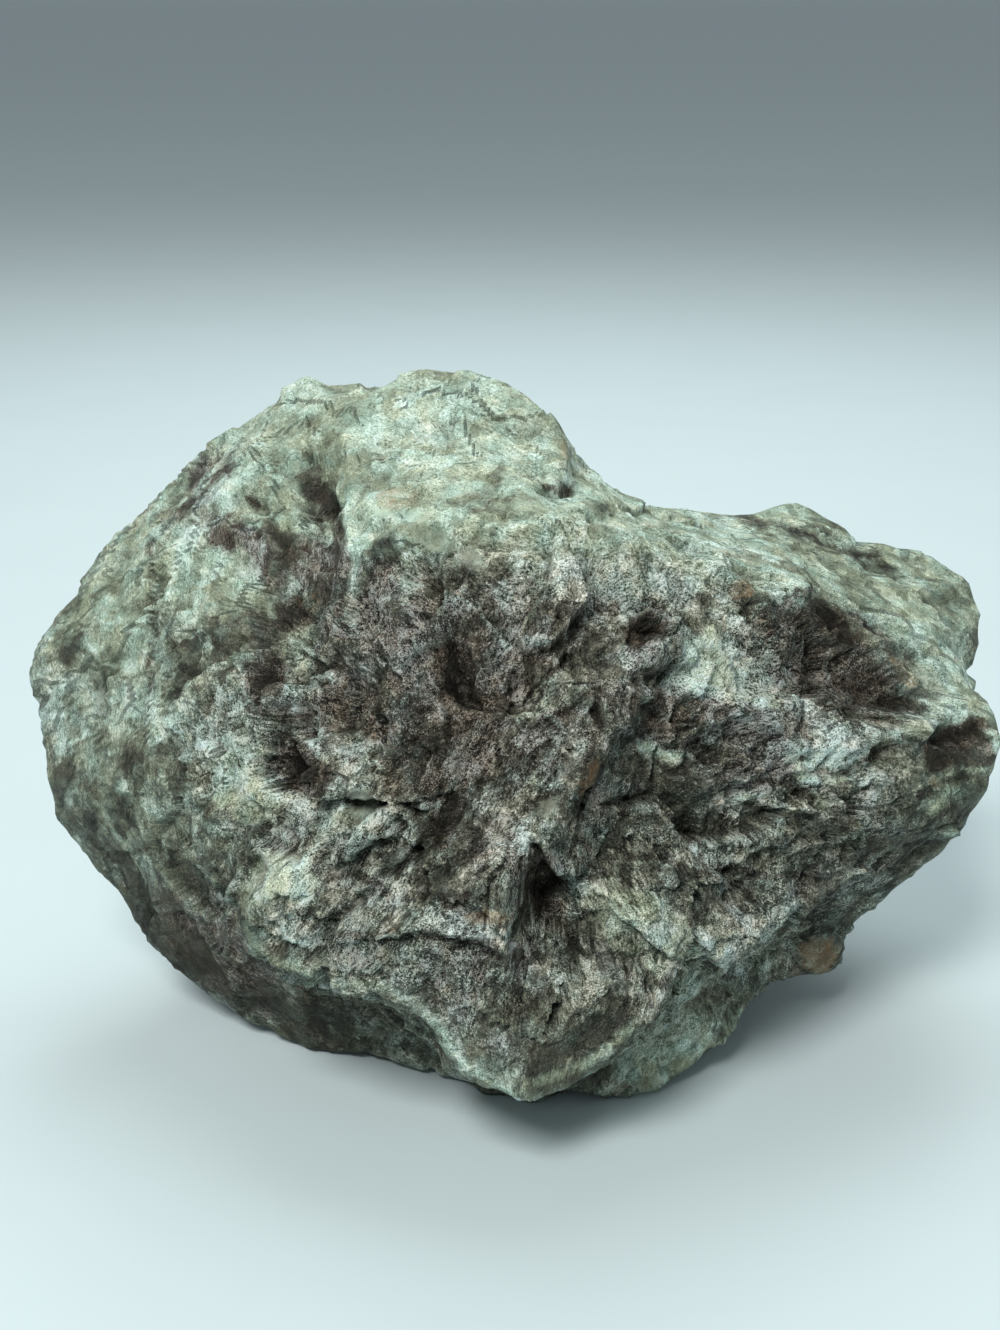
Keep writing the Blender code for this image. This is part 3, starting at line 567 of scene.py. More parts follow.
@dataclass(frozen=True)
class Shards:
    """Space cut into shards: each place belongs to the nearest of scattered seeds.

    Attributes:
        size: the usual width of a shard, in mm.
        slant: how far its plates' tilts reach over a shard's width, in mm.
        step: how far its plates stand above one another, in mm.
        salt: where its random numbers start.
        bend: how far the shards' borders bend, as a share of their size.
        ragged: how far their borders are torn in small waves, as a share of their size.
        ragged_size: the size of those waves, as a share of the shards' size.
    """

    BEND_SALT = 20
    RAGGED_SALT = 23
    TILT_SALT = 3
    STEP_SALT = 6
    NUMBER_SALT = 7

    size: float
    slant: float
    step: float
    salt: int
    bend: float = 0.3
    ragged: float = 0.0
    ragged_size: float = 0.22

    def nearest(self, places: Array) -> tuple[Array, Array, Array]:
        """The shard of each place.

        Args:
            places: where to look, in mm.

        Returns:
            The seed's cell, the way from the seed in shard widths, and how much further off the
            second seed is, which is 0 on a border.
        """
        bend = self.bend * Chance.noise_vector(places, self.size, self.salt + self.BEND_SALT)
        if self.ragged:
            fine = self.size * self.ragged_size
            bend += self.ragged * Chance.noise_vector(places, fine, self.salt + self.RAGGED_SALT)
        scaled = places / self.size + bend
        home = np.floor(scaled)
        first = np.full(len(places), np.inf)
        second = np.full(len(places), np.inf)
        best_cell = np.zeros_like(home)
        best_away = np.zeros_like(home)
        for offset in itertools.product((-1, 0, 1), repeat=3):
            cell = home + offset
            away = scaled - cell - Chance.vector(cell, self.salt)
            distance = np.sqrt((away**2).sum(axis=1))
            closer = distance < first
            second = np.where(closer, first, np.minimum(second, distance))
            first = np.where(closer, distance, first)
            best_cell[closer] = cell[closer]
            best_away[closer] = away[closer]
        return best_cell, best_away, second - first

    def relief(self, places: Array) -> tuple[Array, Array]:
        """Flat plates: slant times tilt dot the way from the seed, plus a random step.

        Args:
            places: where to look, in mm.

        Returns:
            The relief in mm, and a random number from -0.5 to 0.5 for each plate.
        """
        cell, away, _ = self.nearest(places)
        tilt = 2.0 * Chance.vector(cell, self.salt + self.TILT_SALT) - 1.0
        step = Chance.value(cell, self.salt + self.STEP_SALT) - 0.5
        number = Chance.value(cell, self.salt + self.NUMBER_SALT) - 0.5
        return self.slant * (tilt * away).sum(axis=1) + self.step * step, number


# ---- The stone's form -----------------------------------------------------------------------


@dataclass(frozen=True)
class Patch:
    """A turned ellipse on the plane of sight, with a strength or depth.

    Attributes:
        right: how far right its middle stands, in mm.
        up: how far up its middle stands, in mm.
        half_length: its half axis along the turn, in mm.
        half_width: its half axis across the turn, in mm.
        turn: the angle from the right towards the top, in degrees.
        strength: how strong its colour is, or how deep it is in mm.
    """

    right: float
    up: float
    half_length: float
    half_width: float
    turn: float
    strength: float

    def reach(self, right: Array, up: Array) -> Array:
        """How far out points lie: the length of (way along / half length, across / half width).

        Args:
            right: how far right each point stands, in mm.
            up: how far up each point stands, in mm.

        Returns:
            0 in the middle and 1 on the rim.
        """
        angle = np.radians(self.turn)
        along = (right - self.right) * np.cos(angle) + (up - self.up) * np.sin(angle)
        across = (up - self.up) * np.cos(angle) - (right - self.right) * np.sin(angle)
        return np.hypot(along / self.half_length, across / self.half_width)


@dataclass(frozen=True)
class Outline:
    """A closed outline of straight lines on the plane of sight.

    Attributes:
        corners: right and up of each corner, in mm.
    """

    corners: Line

    def depth_inside(self, right: Array, up: Array) -> Array:
        """How deep points lie inside the outline.

        A point is inside when a line to its right crosses the outline an odd number of times.

        Args:
            right: how far right each point stands, in mm.
            up: how far up each point stands, in mm.

        Returns:
            The distance to the outline in mm: above 0 inside it, below 0 outside.
        """
        nearest = np.full(len(right), np.inf)
        inside = np.zeros(len(right), bool)
        for start, end in zip(self.corners, self.corners[1:] + self.corners[:1]):
            nearest = np.minimum(nearest, stretch_distance(right, up, start, end))
            (x0, y0), (x1, y1) = start, end
            if y0 != y1:
                spans = (y0 > up) != (y1 > up)
                inside ^= spans & (right < x0 + (x1 - x0) * (up - y0) / (y1 - y0))
        return np.where(inside, nearest, -nearest)


@dataclass(frozen=True)
class Ridge:
    """A raised or sunk line on the plane of sight, which falls off by side.

    Attributes:
        line: right and up of each of its points, in mm.
        height: how far it stands out, in mm, or below 0 how deep it is.
        above: its width on the upper side, in mm.
        below: its width on the lower side, in mm.
    """

    FALL = 1.5

    line: Line
    height: float
    above: float
    below: float

    def relief(self, right: Array, up: Array) -> Array:
        """height times e^-(d^1.5), where d is the distance to the line in widths of that side.

        Args:
            right: how far right each point stands, in mm.
            up: how far up each point stands, in mm.

        Returns:
            The relief, in mm.
        """
        nearest = np.full(len(right), np.inf)
        in_widths = np.full(len(right), np.inf)
        for start, end in zip(self.line, self.line[1:]):
            distance = stretch_distance(right, up, start, end)
            run = end[0] - start[0]
            rise = end[1] - start[1]
            is_above = ((up - start[1]) * run - (right - start[0]) * rise) * run > 0.0
            closer = distance < nearest
            nearest = np.where(closer, distance, nearest)
            widths = distance / np.where(is_above, self.above, self.below)
            in_widths = np.where(closer, widths, in_widths)
        return self.height * np.exp(-(in_widths**self.FALL))


@dataclass(frozen=True)
class StoneForm:
    """The stone's skin as a distance from its heart in every direction.

    Attributes:
        sight: where the front was surveyed from.
        heart: the point inside that every part of the skin can be seen from, in mm.
        plates: broken plates, coarse to fine. The first two are the solid's own.
        plate_weights: how much each kind counts in the plates' summed random numbers.
        flank_share: how much of the plates' relief is left away from the broken front.
        broken_front: where the front is broken.
        broken_rim: where the broken front starts and where it is whole, in its own reaches.
        hollow_rim: where a hollow starts and where it is at its full depth, likewise.
        wander: how far the faces' edges wander, in radians.
        wander_size: the size of their wanderings, in radians.
        rounding: the radius of the ring of directions that edges are rounded over, in radians.
        ring: how many directions that ring has.
        waver: how far the worked forms waver, in mm.
        waver_size: the size of their wavering, in mm.
        ragged: how far the hollows' rims are torn, as a share of their size.
        ragged_size: the size of the tears, in mm.
        swell: how high the slow swells are, in mm.
        swell_size: how wide they are, in mm.
        fade: how near the worked forms start to show and where they show in full, in mm.
    """

    WANDER_SALT = 1
    RAGGED_SALT = 40
    WAVER_SALT = 41
    SWELL_SALT = 60
    # How far outside a face's side plane a direction may lie and still meet the face.
    SLACK = 1e-6

    sight: Sight = Sight()
    heart: tuple[float, float, float] = (0.0, 3.0, 29.0)
    plates: tuple[Shards, ...] = (
        Shards(9.0, 2.2, 1.2, 100), Shards(3.6, 0.9, 0.5, 130), Shards(1.4, 0.3, 0.2, 160),
    )
    plate_weights: tuple[float, ...] = (0.7, 0.7, 0.5)
    flank_share: float = 0.3
    broken_front: Patch = Patch(6.0, -12.0, 40.0, 26.0, 0, 1.0)
    broken_rim: tuple[float, float] = (1.1, 0.7)
    hollow_rim: tuple[float, float] = (1.15, 0.45)
    wander: float = 0.016
    wander_size: float = 0.16
    rounding: float = 0.010
    ring: int = 6
    waver: float = 0.7
    waver_size: float = 2.6
    ragged: float = 0.3
    ragged_size: float = 1.6
    swell: float = 0.5
    swell_size: float = 16.0
    fade: tuple[float, float] = (-25.0, -19.0)

    def corners(self) -> Array:
        """All surveyed corners.

        Returns:
            Rows of x, y and z in the stone's frame, in mm.
        """
        sighted = (
            SKYLINE + FAR_LEFT_EDGE + FOOT_EDGE + CREST + UNDERCUT
            + BROW + TOP_FACE + LEFT_FLANK + FRONT_FACE + WINDOW
        )
        return np.concatenate([self.sight.to_stone(sighted), np.array(BACK + UNDERSIDE, float)])

    @staticmethod
    def faces_between(directions: Array) -> list[list[int]]:
        """Triangles that join neighbouring directions: the faces of their convex hull.

        Args:
            directions: unit vectors.

        Returns:
            The three corner numbers of each triangle.
        """
        hull = bmesh.new()
        for direction in directions:
            hull.verts.new(direction)
        bmesh.ops.convex_hull(hull, input=hull.verts)
        hull.verts.index_update()
        triangles = [[corner.index for corner in face.verts] for face in hull.faces]
        hull.free()
        return triangles

    @classmethod
    def flat_faced_radius(
        cls, directions: Array, arms: Array, triangles: list[list[int]]
    ) -> Array:
        """Distance from the heart to the face that each direction passes through.

        It is (normal . corner) / (normal . direction) for the face whose three side planes all
        have the direction on their inner side.

        Args:
            directions: unit vectors from the heart.
            arms: the corners, measured from the heart, in mm.
            triangles: the faces as corner numbers.

        Returns:
            The distances, in mm.
        """
        radius = np.zeros(len(directions))
        for triangle in triangles:
            a, b, c = arms[triangle]
            if np.cross(b - a, c - a) @ a < 0.0:
                b, c = c, b
            sides = unit(np.stack([np.cross(a, b), np.cross(b, c), np.cross(c, a)]))
            inside = (directions @ sides.T > -cls.SLACK).all(axis=1)
            normal = np.cross(b - a, c - a)
            radius[inside] = (normal @ a) / (directions[inside] @ normal)
        return radius

    def rounded_radius(self, directions: Array) -> Array:
        """The flat-faced radius with wandering edges, averaged over a small ring of directions.

        Args:
            directions: unit vectors from the heart.

        Returns:
            The distances, in mm.
        """
        arms = self.corners() - np.array(self.heart)
        triangles = self.faces_between(unit(arms))
        wander = Chance.noise_vector(directions, self.wander_size, self.WANDER_SALT)
        wandered = unit(directions + self.wander * wander)
        side = unit(np.cross(wandered, SIDE_HINT))
        other_side = np.cross(wandered, side)
        total = self.flat_faced_radius(wandered, arms, triangles)
        for sample in range(self.ring):
            angle = 2.0 * np.pi * sample / self.ring
            shift = np.cos(angle) * side + np.sin(angle) * other_side
            ring = unit(wandered + self.rounding * shift)
            total += self.flat_faced_radius(ring, arms, triangles)
        return total / (self.ring + 1)

    def worked_relief(self, places: Array) -> Array:
        """The hollows and ridges, on the side that faces the viewer and faded out behind it.

        Args:
            places: points on the rounded skin, in mm.

        Returns:
            The relief, in mm.
        """
        right, up, near = self.sight.of_places(places).T
        rim = 1.0 + self.ragged * Chance.noise(places, self.ragged_size, self.RAGGED_SALT)
        right = right + self.waver * Chance.noise(places, self.waver_size, self.WAVER_SALT)
        up = up + self.waver * Chance.noise(places, self.waver_size, self.WAVER_SALT + 1)
        relief = np.zeros(len(places))
        for hollow in (Patch(*numbers) for numbers in HOLLOWS):
            relief -= hollow.strength * smooth_step(*self.hollow_rim, hollow.reach(right, up) * rim)
        for ridge in (Ridge(*numbers) for numbers in RIDGES):
            relief += ridge.relief(right, up)
        return relief * smooth_step(*self.fade, near)

    def broken_share(self, places: Array) -> Array:
        """How far places lie on the broken front.

        Args:
            places: points on the skin, in mm.

        Returns:
            1 on the broken front, 0 on the smoother flanks, top and back.
        """
        right, up, near = self.sight.of_places(places).T
        front = smooth_step(*self.broken_rim, self.broken_front.reach(right, up))
        return front * smooth_step(*self.fade, near)

    def radius(self, directions: Array) -> tuple[Array, Array, Array]:
        """The skin's distance from the heart.

        Args:
            directions: unit vectors from the heart.

        Returns:
            The distance before the plates are added, the distance with them, and the plates'
            random numbers summed by their weights.
        """
        smooth = self.rounded_radius(directions)
        places = np.array(self.heart) + directions * smooth[:, None]
        swell = self.swell * Chance.noise(places, self.swell_size, self.SWELL_SALT)
        smooth = smooth + self.worked_relief(places) + swell
        rough = smooth.copy()
        share = self.flank_share + (1.0 - self.flank_share) * self.broken_share(places)
        numbers = np.zeros(len(places))
        for plates, weight in zip(self.plates, self.plate_weights):
            relief, number = plates.relief(places)
            rough += share * relief
            numbers += weight * number
        return smooth, rough, numbers

    def settled(self, directions: Array, radius: Array) -> Array:
        """Places on the skin, cut off along their rays where they would sink below height 0.

        Args:
            directions: unit vectors from the heart.
            radius: the skin's distance from the heart along each, in mm.

        Returns:
            The places, in mm.
        """
        heart = np.array(self.heart)
        falling = directions[:, 2] < 0.0
        to_table = np.full(len(directions), np.inf)
        to_table[falling] = -heart[2] / directions[falling, 2]
        return heart + directions * np.minimum(radius, to_table)[:, None]


# ---- Fibres and stains ----------------------------------------------------------------------


@dataclass(frozen=True)
class FibreBundles:
    """Bundles of parallel fibres: each shard of the stone has one lie of its own.

    Attributes:
        sight: where the lies were surveyed from.
        shards: the bundles.
        stray: how far a bundle's lie strays from its neighbourhood's, as a share.
        shift: how far apart along its fibres two bundles' coordinates may start, in mm.
        hidden_lie: the usual lie on the side that wasn't surveyed.
        hidden_size: how far apart that side's lies change, in mm.
        fade: how near the surveyed lies start to count and where they count in full, in mm.
        border: how wide a bundle's border is, from and to, in shard widths.
    """

    LIE_SALT = 11
    SHIFT_SALT = 14
    NUMBER_SALT = 17
    HIDDEN_SALT = 30
    # Keeps the blended turn defined where no surveyed lie reaches.
    TINY = 1e-6

    sight: Sight = Sight()
    shards: Shards = Shards(7.5, 0.0, 0.0, 200, 0.35, 0.16)
    stray: float = 0.3
    shift: float = 60.0
    hidden_lie: tuple[float, float, float] = (0.3, 0.1, 0.9)
    hidden_size: float = 40.0
    fade: tuple[float, float] = (-26.0, -18.0)
    border: tuple[float, float] = (0.03, 0.1)

    def lie_at(self, places: Array) -> Array:
        """Unit vectors along the fibres.

        On the front, the surveyed turns are blended as doubled angles, weighted by
        e^-(distance / reach)^2, so that a turn and its reverse count as one. Behind it, the lie
        is a slow noise.

        Args:
            places: where to look, in mm.

        Returns:
            One vector per place.
        """
        right, up, near = self.sight.of_places(places).T
        cosine = np.full(len(places), self.TINY)
        sine = np.zeros(len(places))
        for at_right, at_up, reach, turn in FIBRE_LIES:
            weight = np.exp(-(((right - at_right) ** 2 + (up - at_up) ** 2) / reach**2))
            cosine += weight * np.cos(np.radians(2.0 * turn))
            sine += weight * np.sin(np.radians(2.0 * turn))
        turn = 0.5 * np.arctan2(sine, cosine)
        front = np.stack([np.cos(turn), np.sin(turn), np.zeros_like(turn)], 1) @ self.sight.axes
        salt = self.shards.salt + self.HIDDEN_SALT
        hidden = unit(Chance.noise_vector(places, self.hidden_size, salt) + self.hidden_lie)
        share = smooth_step(*self.fade, near)[:, None]
        return unit(share * front + (1.0 - share) * hidden)

    def coordinates(self, places: Array) -> tuple[Array, Array, Array]:
        """Coordinates that run along and across the fibres.

        Args:
            places: points on the skin, in mm.

        Returns:
            For each point: the way along its bundle's fibres and two ways across them, in mm,
            a random number for its bundle, and 0 on a bundle's border rising to 1 inside.
        """
        cell, _, gap = self.shards.nearest(places)
        seed = (cell + Chance.vector(cell, self.shards.salt)) * self.shards.size
        stray = 2.0 * Chance.vector(cell, self.shards.salt + self.LIE_SALT) - 1.0
        along = unit(self.lie_at(seed) + self.stray * stray)
        side = unit(np.cross(along, SIDE_HINT))
        other_side = np.cross(along, side)
        way = places - seed
        axes = np.stack([along, side, other_side], axis=1)
        turned = np.einsum("nij,nj->ni", axes, way)
        shift = self.shift * Chance.vector(cell, self.shards.salt + self.SHIFT_SALT)
        number = Chance.value(cell, self.shards.salt + self.NUMBER_SALT)
        return turned + shift, number, smooth_step(*self.border, gap)


@dataclass(frozen=True)
class Stains:
    """Where the colours lie on the skin.

    Attributes:
        sight: where the patches, zones and lines were surveyed from.
        fade: how near the patches start to show and where they show in full, in mm.
        behind: how near a place has to be to lie in a zone or by a line, in mm.
        far: the distance that counts as far from a zone or a line, in mm.
        rim: where a patch starts and where it is at its full strength, in its own reaches.
        ragged: how far the patches' rims are torn, as a share of their size.
        pale_tears: the size of the tears in the pale patches, in mm.
        brown_tears: likewise, in the brown ones.
        rust_tears: likewise, in the rusty ones.
        painted_top_light: the slopes where whatever faces up starts to be painted pale as light
            from above and where it is.
        ragged_slope: how far the tears shift those slopes.
        most_pale: the strongest that pale can be.
        drift_size: how wide the hidden side's brown drifts are, in mm.
        drift_limits: the noise from which they start and at which they are whole.
        drift_strength: how brown they are.
        drift_top: the slope above which there are none.
        hidden: how far behind the plane of sight they start and are whole, in mm.
        spot_size: how far apart rusty spots lie, in mm.
        spot_limits: the noise from which they start and at which they are whole.
        spot_strength: how rusty they are.
        layers: how many noises make a tear or a drift.
    """

    PALE_SALT = 300
    BROWN_SALT = 330
    DRIFT_SALT = 340
    RUST_SALT = 360
    SPOT_SALT = 370

    sight: Sight = Sight()
    fade: tuple[float, float] = (-30.0, -22.0)
    behind: float = -26.0
    far: float = 3.0
    rim: tuple[float, float] = (1.35, 0.55)
    ragged: float = 0.35
    pale_tears: float = 5.0
    brown_tears: float = 4.0
    rust_tears: float = 2.0
    painted_top_light: Limits = (0.35, 0.85)
    ragged_slope: float = 0.25
    most_pale: float = 1.2
    drift_size: float = 14.0
    drift_limits: Limits = (0.1, 0.7)
    drift_strength: float = 0.8
    drift_top: float = 0.6
    hidden: Limits = (-20.0, -28.0)
    spot_size: float = 7.0
    spot_limits: Limits = (0.72, 1.05)
    spot_strength: float = 0.7
    layers: int = 3

    def of_patches(self, places: Array, patches: tuple[Row, ...], ragged: Array) -> Array:
        """The strongest patch at each place, with a soft and ragged rim; 0 behind the front.

        Args:
            places: points on the skin, in mm.
            patches: the patches' numbers.
            ragged: how far in or out the rims are torn at each place, from -1 to 1.

        Returns:
            The strengths.
        """
        right, up, near = self.sight.of_places(places).T
        strength = np.zeros(len(places))
        for patch in (Patch(*numbers) for numbers in patches):
            reach = patch.reach(right, up) * (1.0 + self.ragged * ragged)
            strength = np.maximum(strength, patch.strength * smooth_step(*self.rim, reach))
        return strength * smooth_step(*self.fade, near)

    def zone_depth(self, places: Array, zones: tuple[Zone, ...], waver: Array) -> Array:
        """How deep each place lies inside the zone that it is deepest in.

        Args:
            places: points on the skin, in mm.
            zones: a limit to the depth and an outline for each zone.
            waver: how far the outlines waver at each place, in mm.

        Returns:
            The depths in mm, from the negative of far to the zone's limit.
        """
        right, up, near = self.sight.of_places(places).T
        depth = np.full(len(places), -self.far)
        for limit, corners in zones:
            inside = Outline(corners).depth_inside(right + waver[:, 0], up + waver[:, 1])
            depth = np.maximum(depth, np.minimum(inside, limit))
        return np.where(near > self.behind, depth, -self.far)

    def line_gap(
        self, places: Array, lines: tuple[Line, ...], waver: Array, behind: float
    ) -> Array:
        """How far each place lies from the nearest line.

        Args:
            places: points on the skin, in mm.
            lines: the lines' points.
            waver: how far the lines waver at each place, in mm.
            behind: how near a place has to be to lie by a line, in mm.

        Returns:
            The distances in mm, up to far.
        """
        right, up, near = self.sight.of_places(places).T
        right = right + waver[:, 0]
        up = up + waver[:, 1]
        gap = np.full(len(places), self.far)
        for line in lines:
            for start, end in zip(line, line[1:]):
                gap = np.minimum(gap, stretch_distance(right, up, start, end))
        return np.where(near > behind, gap, self.far)

    def pale(self, places: Array, upness: Array) -> Array:
        """Pale green: the surveyed patches, some of which stand for light, and whatever faces up,
        which is the stone's pale colour and painted light from above.

        Args:
            places: points on the skin, in mm.
            upness: the height of the skin's normals, from -1 to 1.

        Returns:
            The strengths, from 0 to most_pale.
        """
        ragged = Chance.layered(places, self.pale_tears, self.PALE_SALT, self.layers)
        patches = self.of_patches(places, PALE_AND_LIT_PATCHES, ragged)
        # Painted light from above: whatever faces up is made pale.
        painted_top_light = smooth_step(*self.painted_top_light, upness + self.ragged_slope * ragged)
        return np.clip(np.maximum(patches, painted_top_light), 0.0, self.most_pale)

    def brown(self, places: Array, upness: Array) -> Array:
        """Brown grey: the surveyed patches, and drifts on the hidden side below its top.

        Args:
            places: points on the skin, in mm.
            upness: the height of the skin's normals, from -1 to 1.

        Returns:
            The strengths, from 0 to about 1.2.
        """
        ragged = Chance.layered(places, self.brown_tears, self.BROWN_SALT, self.layers)
        noise = Chance.layered(places, self.drift_size, self.DRIFT_SALT, self.layers)
        drifts = smooth_step(*self.drift_limits, noise) * (upness < self.drift_top)
        hidden = smooth_step(*self.hidden, self.sight.of_places(places)[:, 2])
        patches = self.of_patches(places, BROWN_PATCHES, ragged)
        return np.maximum(patches, self.drift_strength * drifts * hidden)

    def rust(self, places: Array) -> Array:
        """Rust: the surveyed patches, and small spots all round.

        Args:
            places: points on the skin, in mm.

        Returns:
            The strengths, from 0 to 1.
        """
        ragged = Chance.layered(places, self.rust_tears, self.RUST_SALT, self.layers)
        noise = Chance.layered(places, self.spot_size, self.SPOT_SALT, self.layers + 1)
        spots = self.spot_strength * smooth_step(*self.spot_limits, noise)
        return np.maximum(self.of_patches(places, RUST_PATCHES, ragged), spots)


# ---- The skin as a mesh ---------------------------------------------------------------------


class CubeSide(Enum):
    """The sides of a cube: outward axis, then the axes of the two parameters."""

    RIGHT = ((1, 0, 0), (0, 1, 0), (0, 0, 1))
    LEFT = ((-1, 0, 0), (0, -1, 0), (0, 0, 1))
    BACK = ((0, 1, 0), (-1, 0, 0), (0, 0, 1))
    FRONT = ((0, -1, 0), (1, 0, 0), (0, 0, 1))
    TOP = ((0, 0, 1), (1, 0, 0), (0, 1, 0))
    BOTTOM = ((0, 0, -1), (-1, 0, 0), (0, 1, 0))


@dataclass(frozen=True)
class SkinGrid:
    """Six square grids of directions that meet edge to edge round a ball.

    Attributes:
        steps: squares along a side of each grid.
        margin: squares that each grid runs past its own edge, for averages near the edge.
        lean: how far the directions crowd towards the viewer.
        towards: the way to the viewer.
    """

    steps: int = 128
    margin: int = 12
    lean: float = 0.4
    towards: tuple[float, float, float] = tuple(Sight().axes[2])

    @property
    def width(self) -> int:
        """Points along a side of a grid with its margins."""
        return self.steps + 1 + 2 * self.margin

    def directions(self) -> Array:
        """Unit vectors, side by side, for parameters u and v from -1 to 1 and a margin beyond.

        A direction is outward + tan(45 deg u) across + tan(45 deg v) along, made unit, then
        leaned towards the viewer and made unit again.

        Returns:
            The vectors by side and the two parameters.
        """
        count = np.arange(self.width) - self.margin
        slope = np.tan(np.radians(45.0) * (2.0 * count / self.steps - 1.0))
        u, v = np.meshgrid(slope, slope, indexing="ij")
        sides = []
        for side in CubeSide:
            outward, across, along = np.array(side.value, float)
            flat = outward + u[..., None] * across + v[..., None] * along
            sides.append(unit(unit(flat) + self.lean * np.array(self.towards)))
        return np.stack(sides)

    def as_grids(self, values: Array) -> Array:
        """A flat list of values laid out again by side and parameters."""
        return values.reshape(len(CubeSide), self.width, self.width, *values.shape[1:])

    def trimmed(self, values: Array) -> Array:
        """A flat list of values without those of the grids' margins."""
        inner = self.as_grids(values)[:, self.margin : -self.margin, self.margin : -self.margin]
        return inner.reshape(-1, *values.shape[1:])

    def blurred(self, grids: Array, reach: int) -> Array:
        """The running mean over a square, one parameter after the other.

        Args:
            grids: values by side and parameters.
            reach: how many points the square runs to either side, for 2 reach + 1 in all.

        Returns:
            The means, laid out like the values.
        """
        for axis in (1, 2):
            pad = [(0, 0)] * grids.ndim
            pad[axis] = (reach + 1, reach)
            total = np.cumsum(np.pad(grids, pad, mode="edge"), axis=axis)
            length = total.shape[axis]
            high = np.take(total, range(2 * reach + 1, length), axis=axis)
            low = np.take(total, range(0, length - 2 * reach - 1), axis=axis)
            grids = (high - low) / (2 * reach + 1)
        return grids

    def sunk(self, values: Array, reach: int) -> Array:
        """How far each of a flat list of values lies below the mean of its neighbourhood."""
        grids = self.as_grids(values)
        return (self.blurred(grids, reach) - grids).reshape(-1)

    def upness(self, places: Array, reach: int) -> Array:
        """The height of the blurred skin's normals: the way along u crossed with that along v.

        Args:
            places: a flat list of the skin's points.
            reach: how far the points are blurred.

        Returns:
            One number per point, from -1 to 1.
        """
        grids = self.blurred(self.as_grids(places), reach)
        normals = unit(np.cross(np.gradient(grids, axis=1), np.gradient(grids, axis=2)))
        return normals[..., 2].reshape(-1)

    def faces(self) -> Array:
        """Corner numbers of every square, outward side first, in the trimmed flat list.

        Returns:
            Rows of four numbers.
        """
        points = self.steps + 1
        numbers = np.arange(len(CubeSide) * points * points).reshape(-1, points, points)
        corners = (
            numbers[:, :-1, :-1], numbers[:, 1:, :-1], numbers[:, 1:, 1:], numbers[:, :-1, 1:],
        )
        return np.stack(corners, axis=-1).reshape(-1, 4)


# ---- Shader maths ---------------------------------------------------------------------------


class Wire:
    """An output socket whose arithmetic adds Math nodes."""

    def __init__(self, graph: "Graph", socket: bpy.types.NodeSocket) -> None:
        """Wraps a socket of a graph."""
        self.graph = graph
        self.socket = socket

    def __add__(self, other: "Wire | Number") -> "Wire":
        """This plus the other."""
        return self.graph.math("ADD", self, other)

    __radd__ = __add__

    def __mul__(self, other: "Wire | Number") -> "Wire":
        """This times the other."""
        return self.graph.math("MULTIPLY", self, other)

    __rmul__ = __mul__

    def __sub__(self, other: "Wire | Number") -> "Wire":
        """This less the other."""
        return self.graph.math("SUBTRACT", self, other)

    def __rsub__(self, other: "Wire | Number") -> "Wire":
        """The other less this."""
        return self.graph.math("SUBTRACT", other, self)

    def __truediv__(self, other: "Wire | Number") -> "Wire":
        """This divided by the other."""
        return self.graph.math("DIVIDE", self, other)

    def __abs__(self) -> "Wire":
        """This without its sign."""
        return self.graph.math("ABSOLUTE", self)

    def larger(self, other: "Wire | Number") -> "Wire":
        """The larger of this and the other."""
        return self.graph.math("MAXIMUM", self, other)

    def limited(self) -> "Wire":
        """This, kept between 0 and 1."""
        return self.graph.math("MINIMUM", self.larger(0.0), 1.0)

    def ridge(self, width: float) -> "Wire":
        """1 where this is 0.5, falling to 0 at this width on either side."""
        return (1.0 - abs(self - 0.5) / width).limited()

    def rise(self, low: float, high: float) -> "Wire":
        """0 below low, 1 above high, straight between them."""
        return ((self - low) / (high - low)).limited()


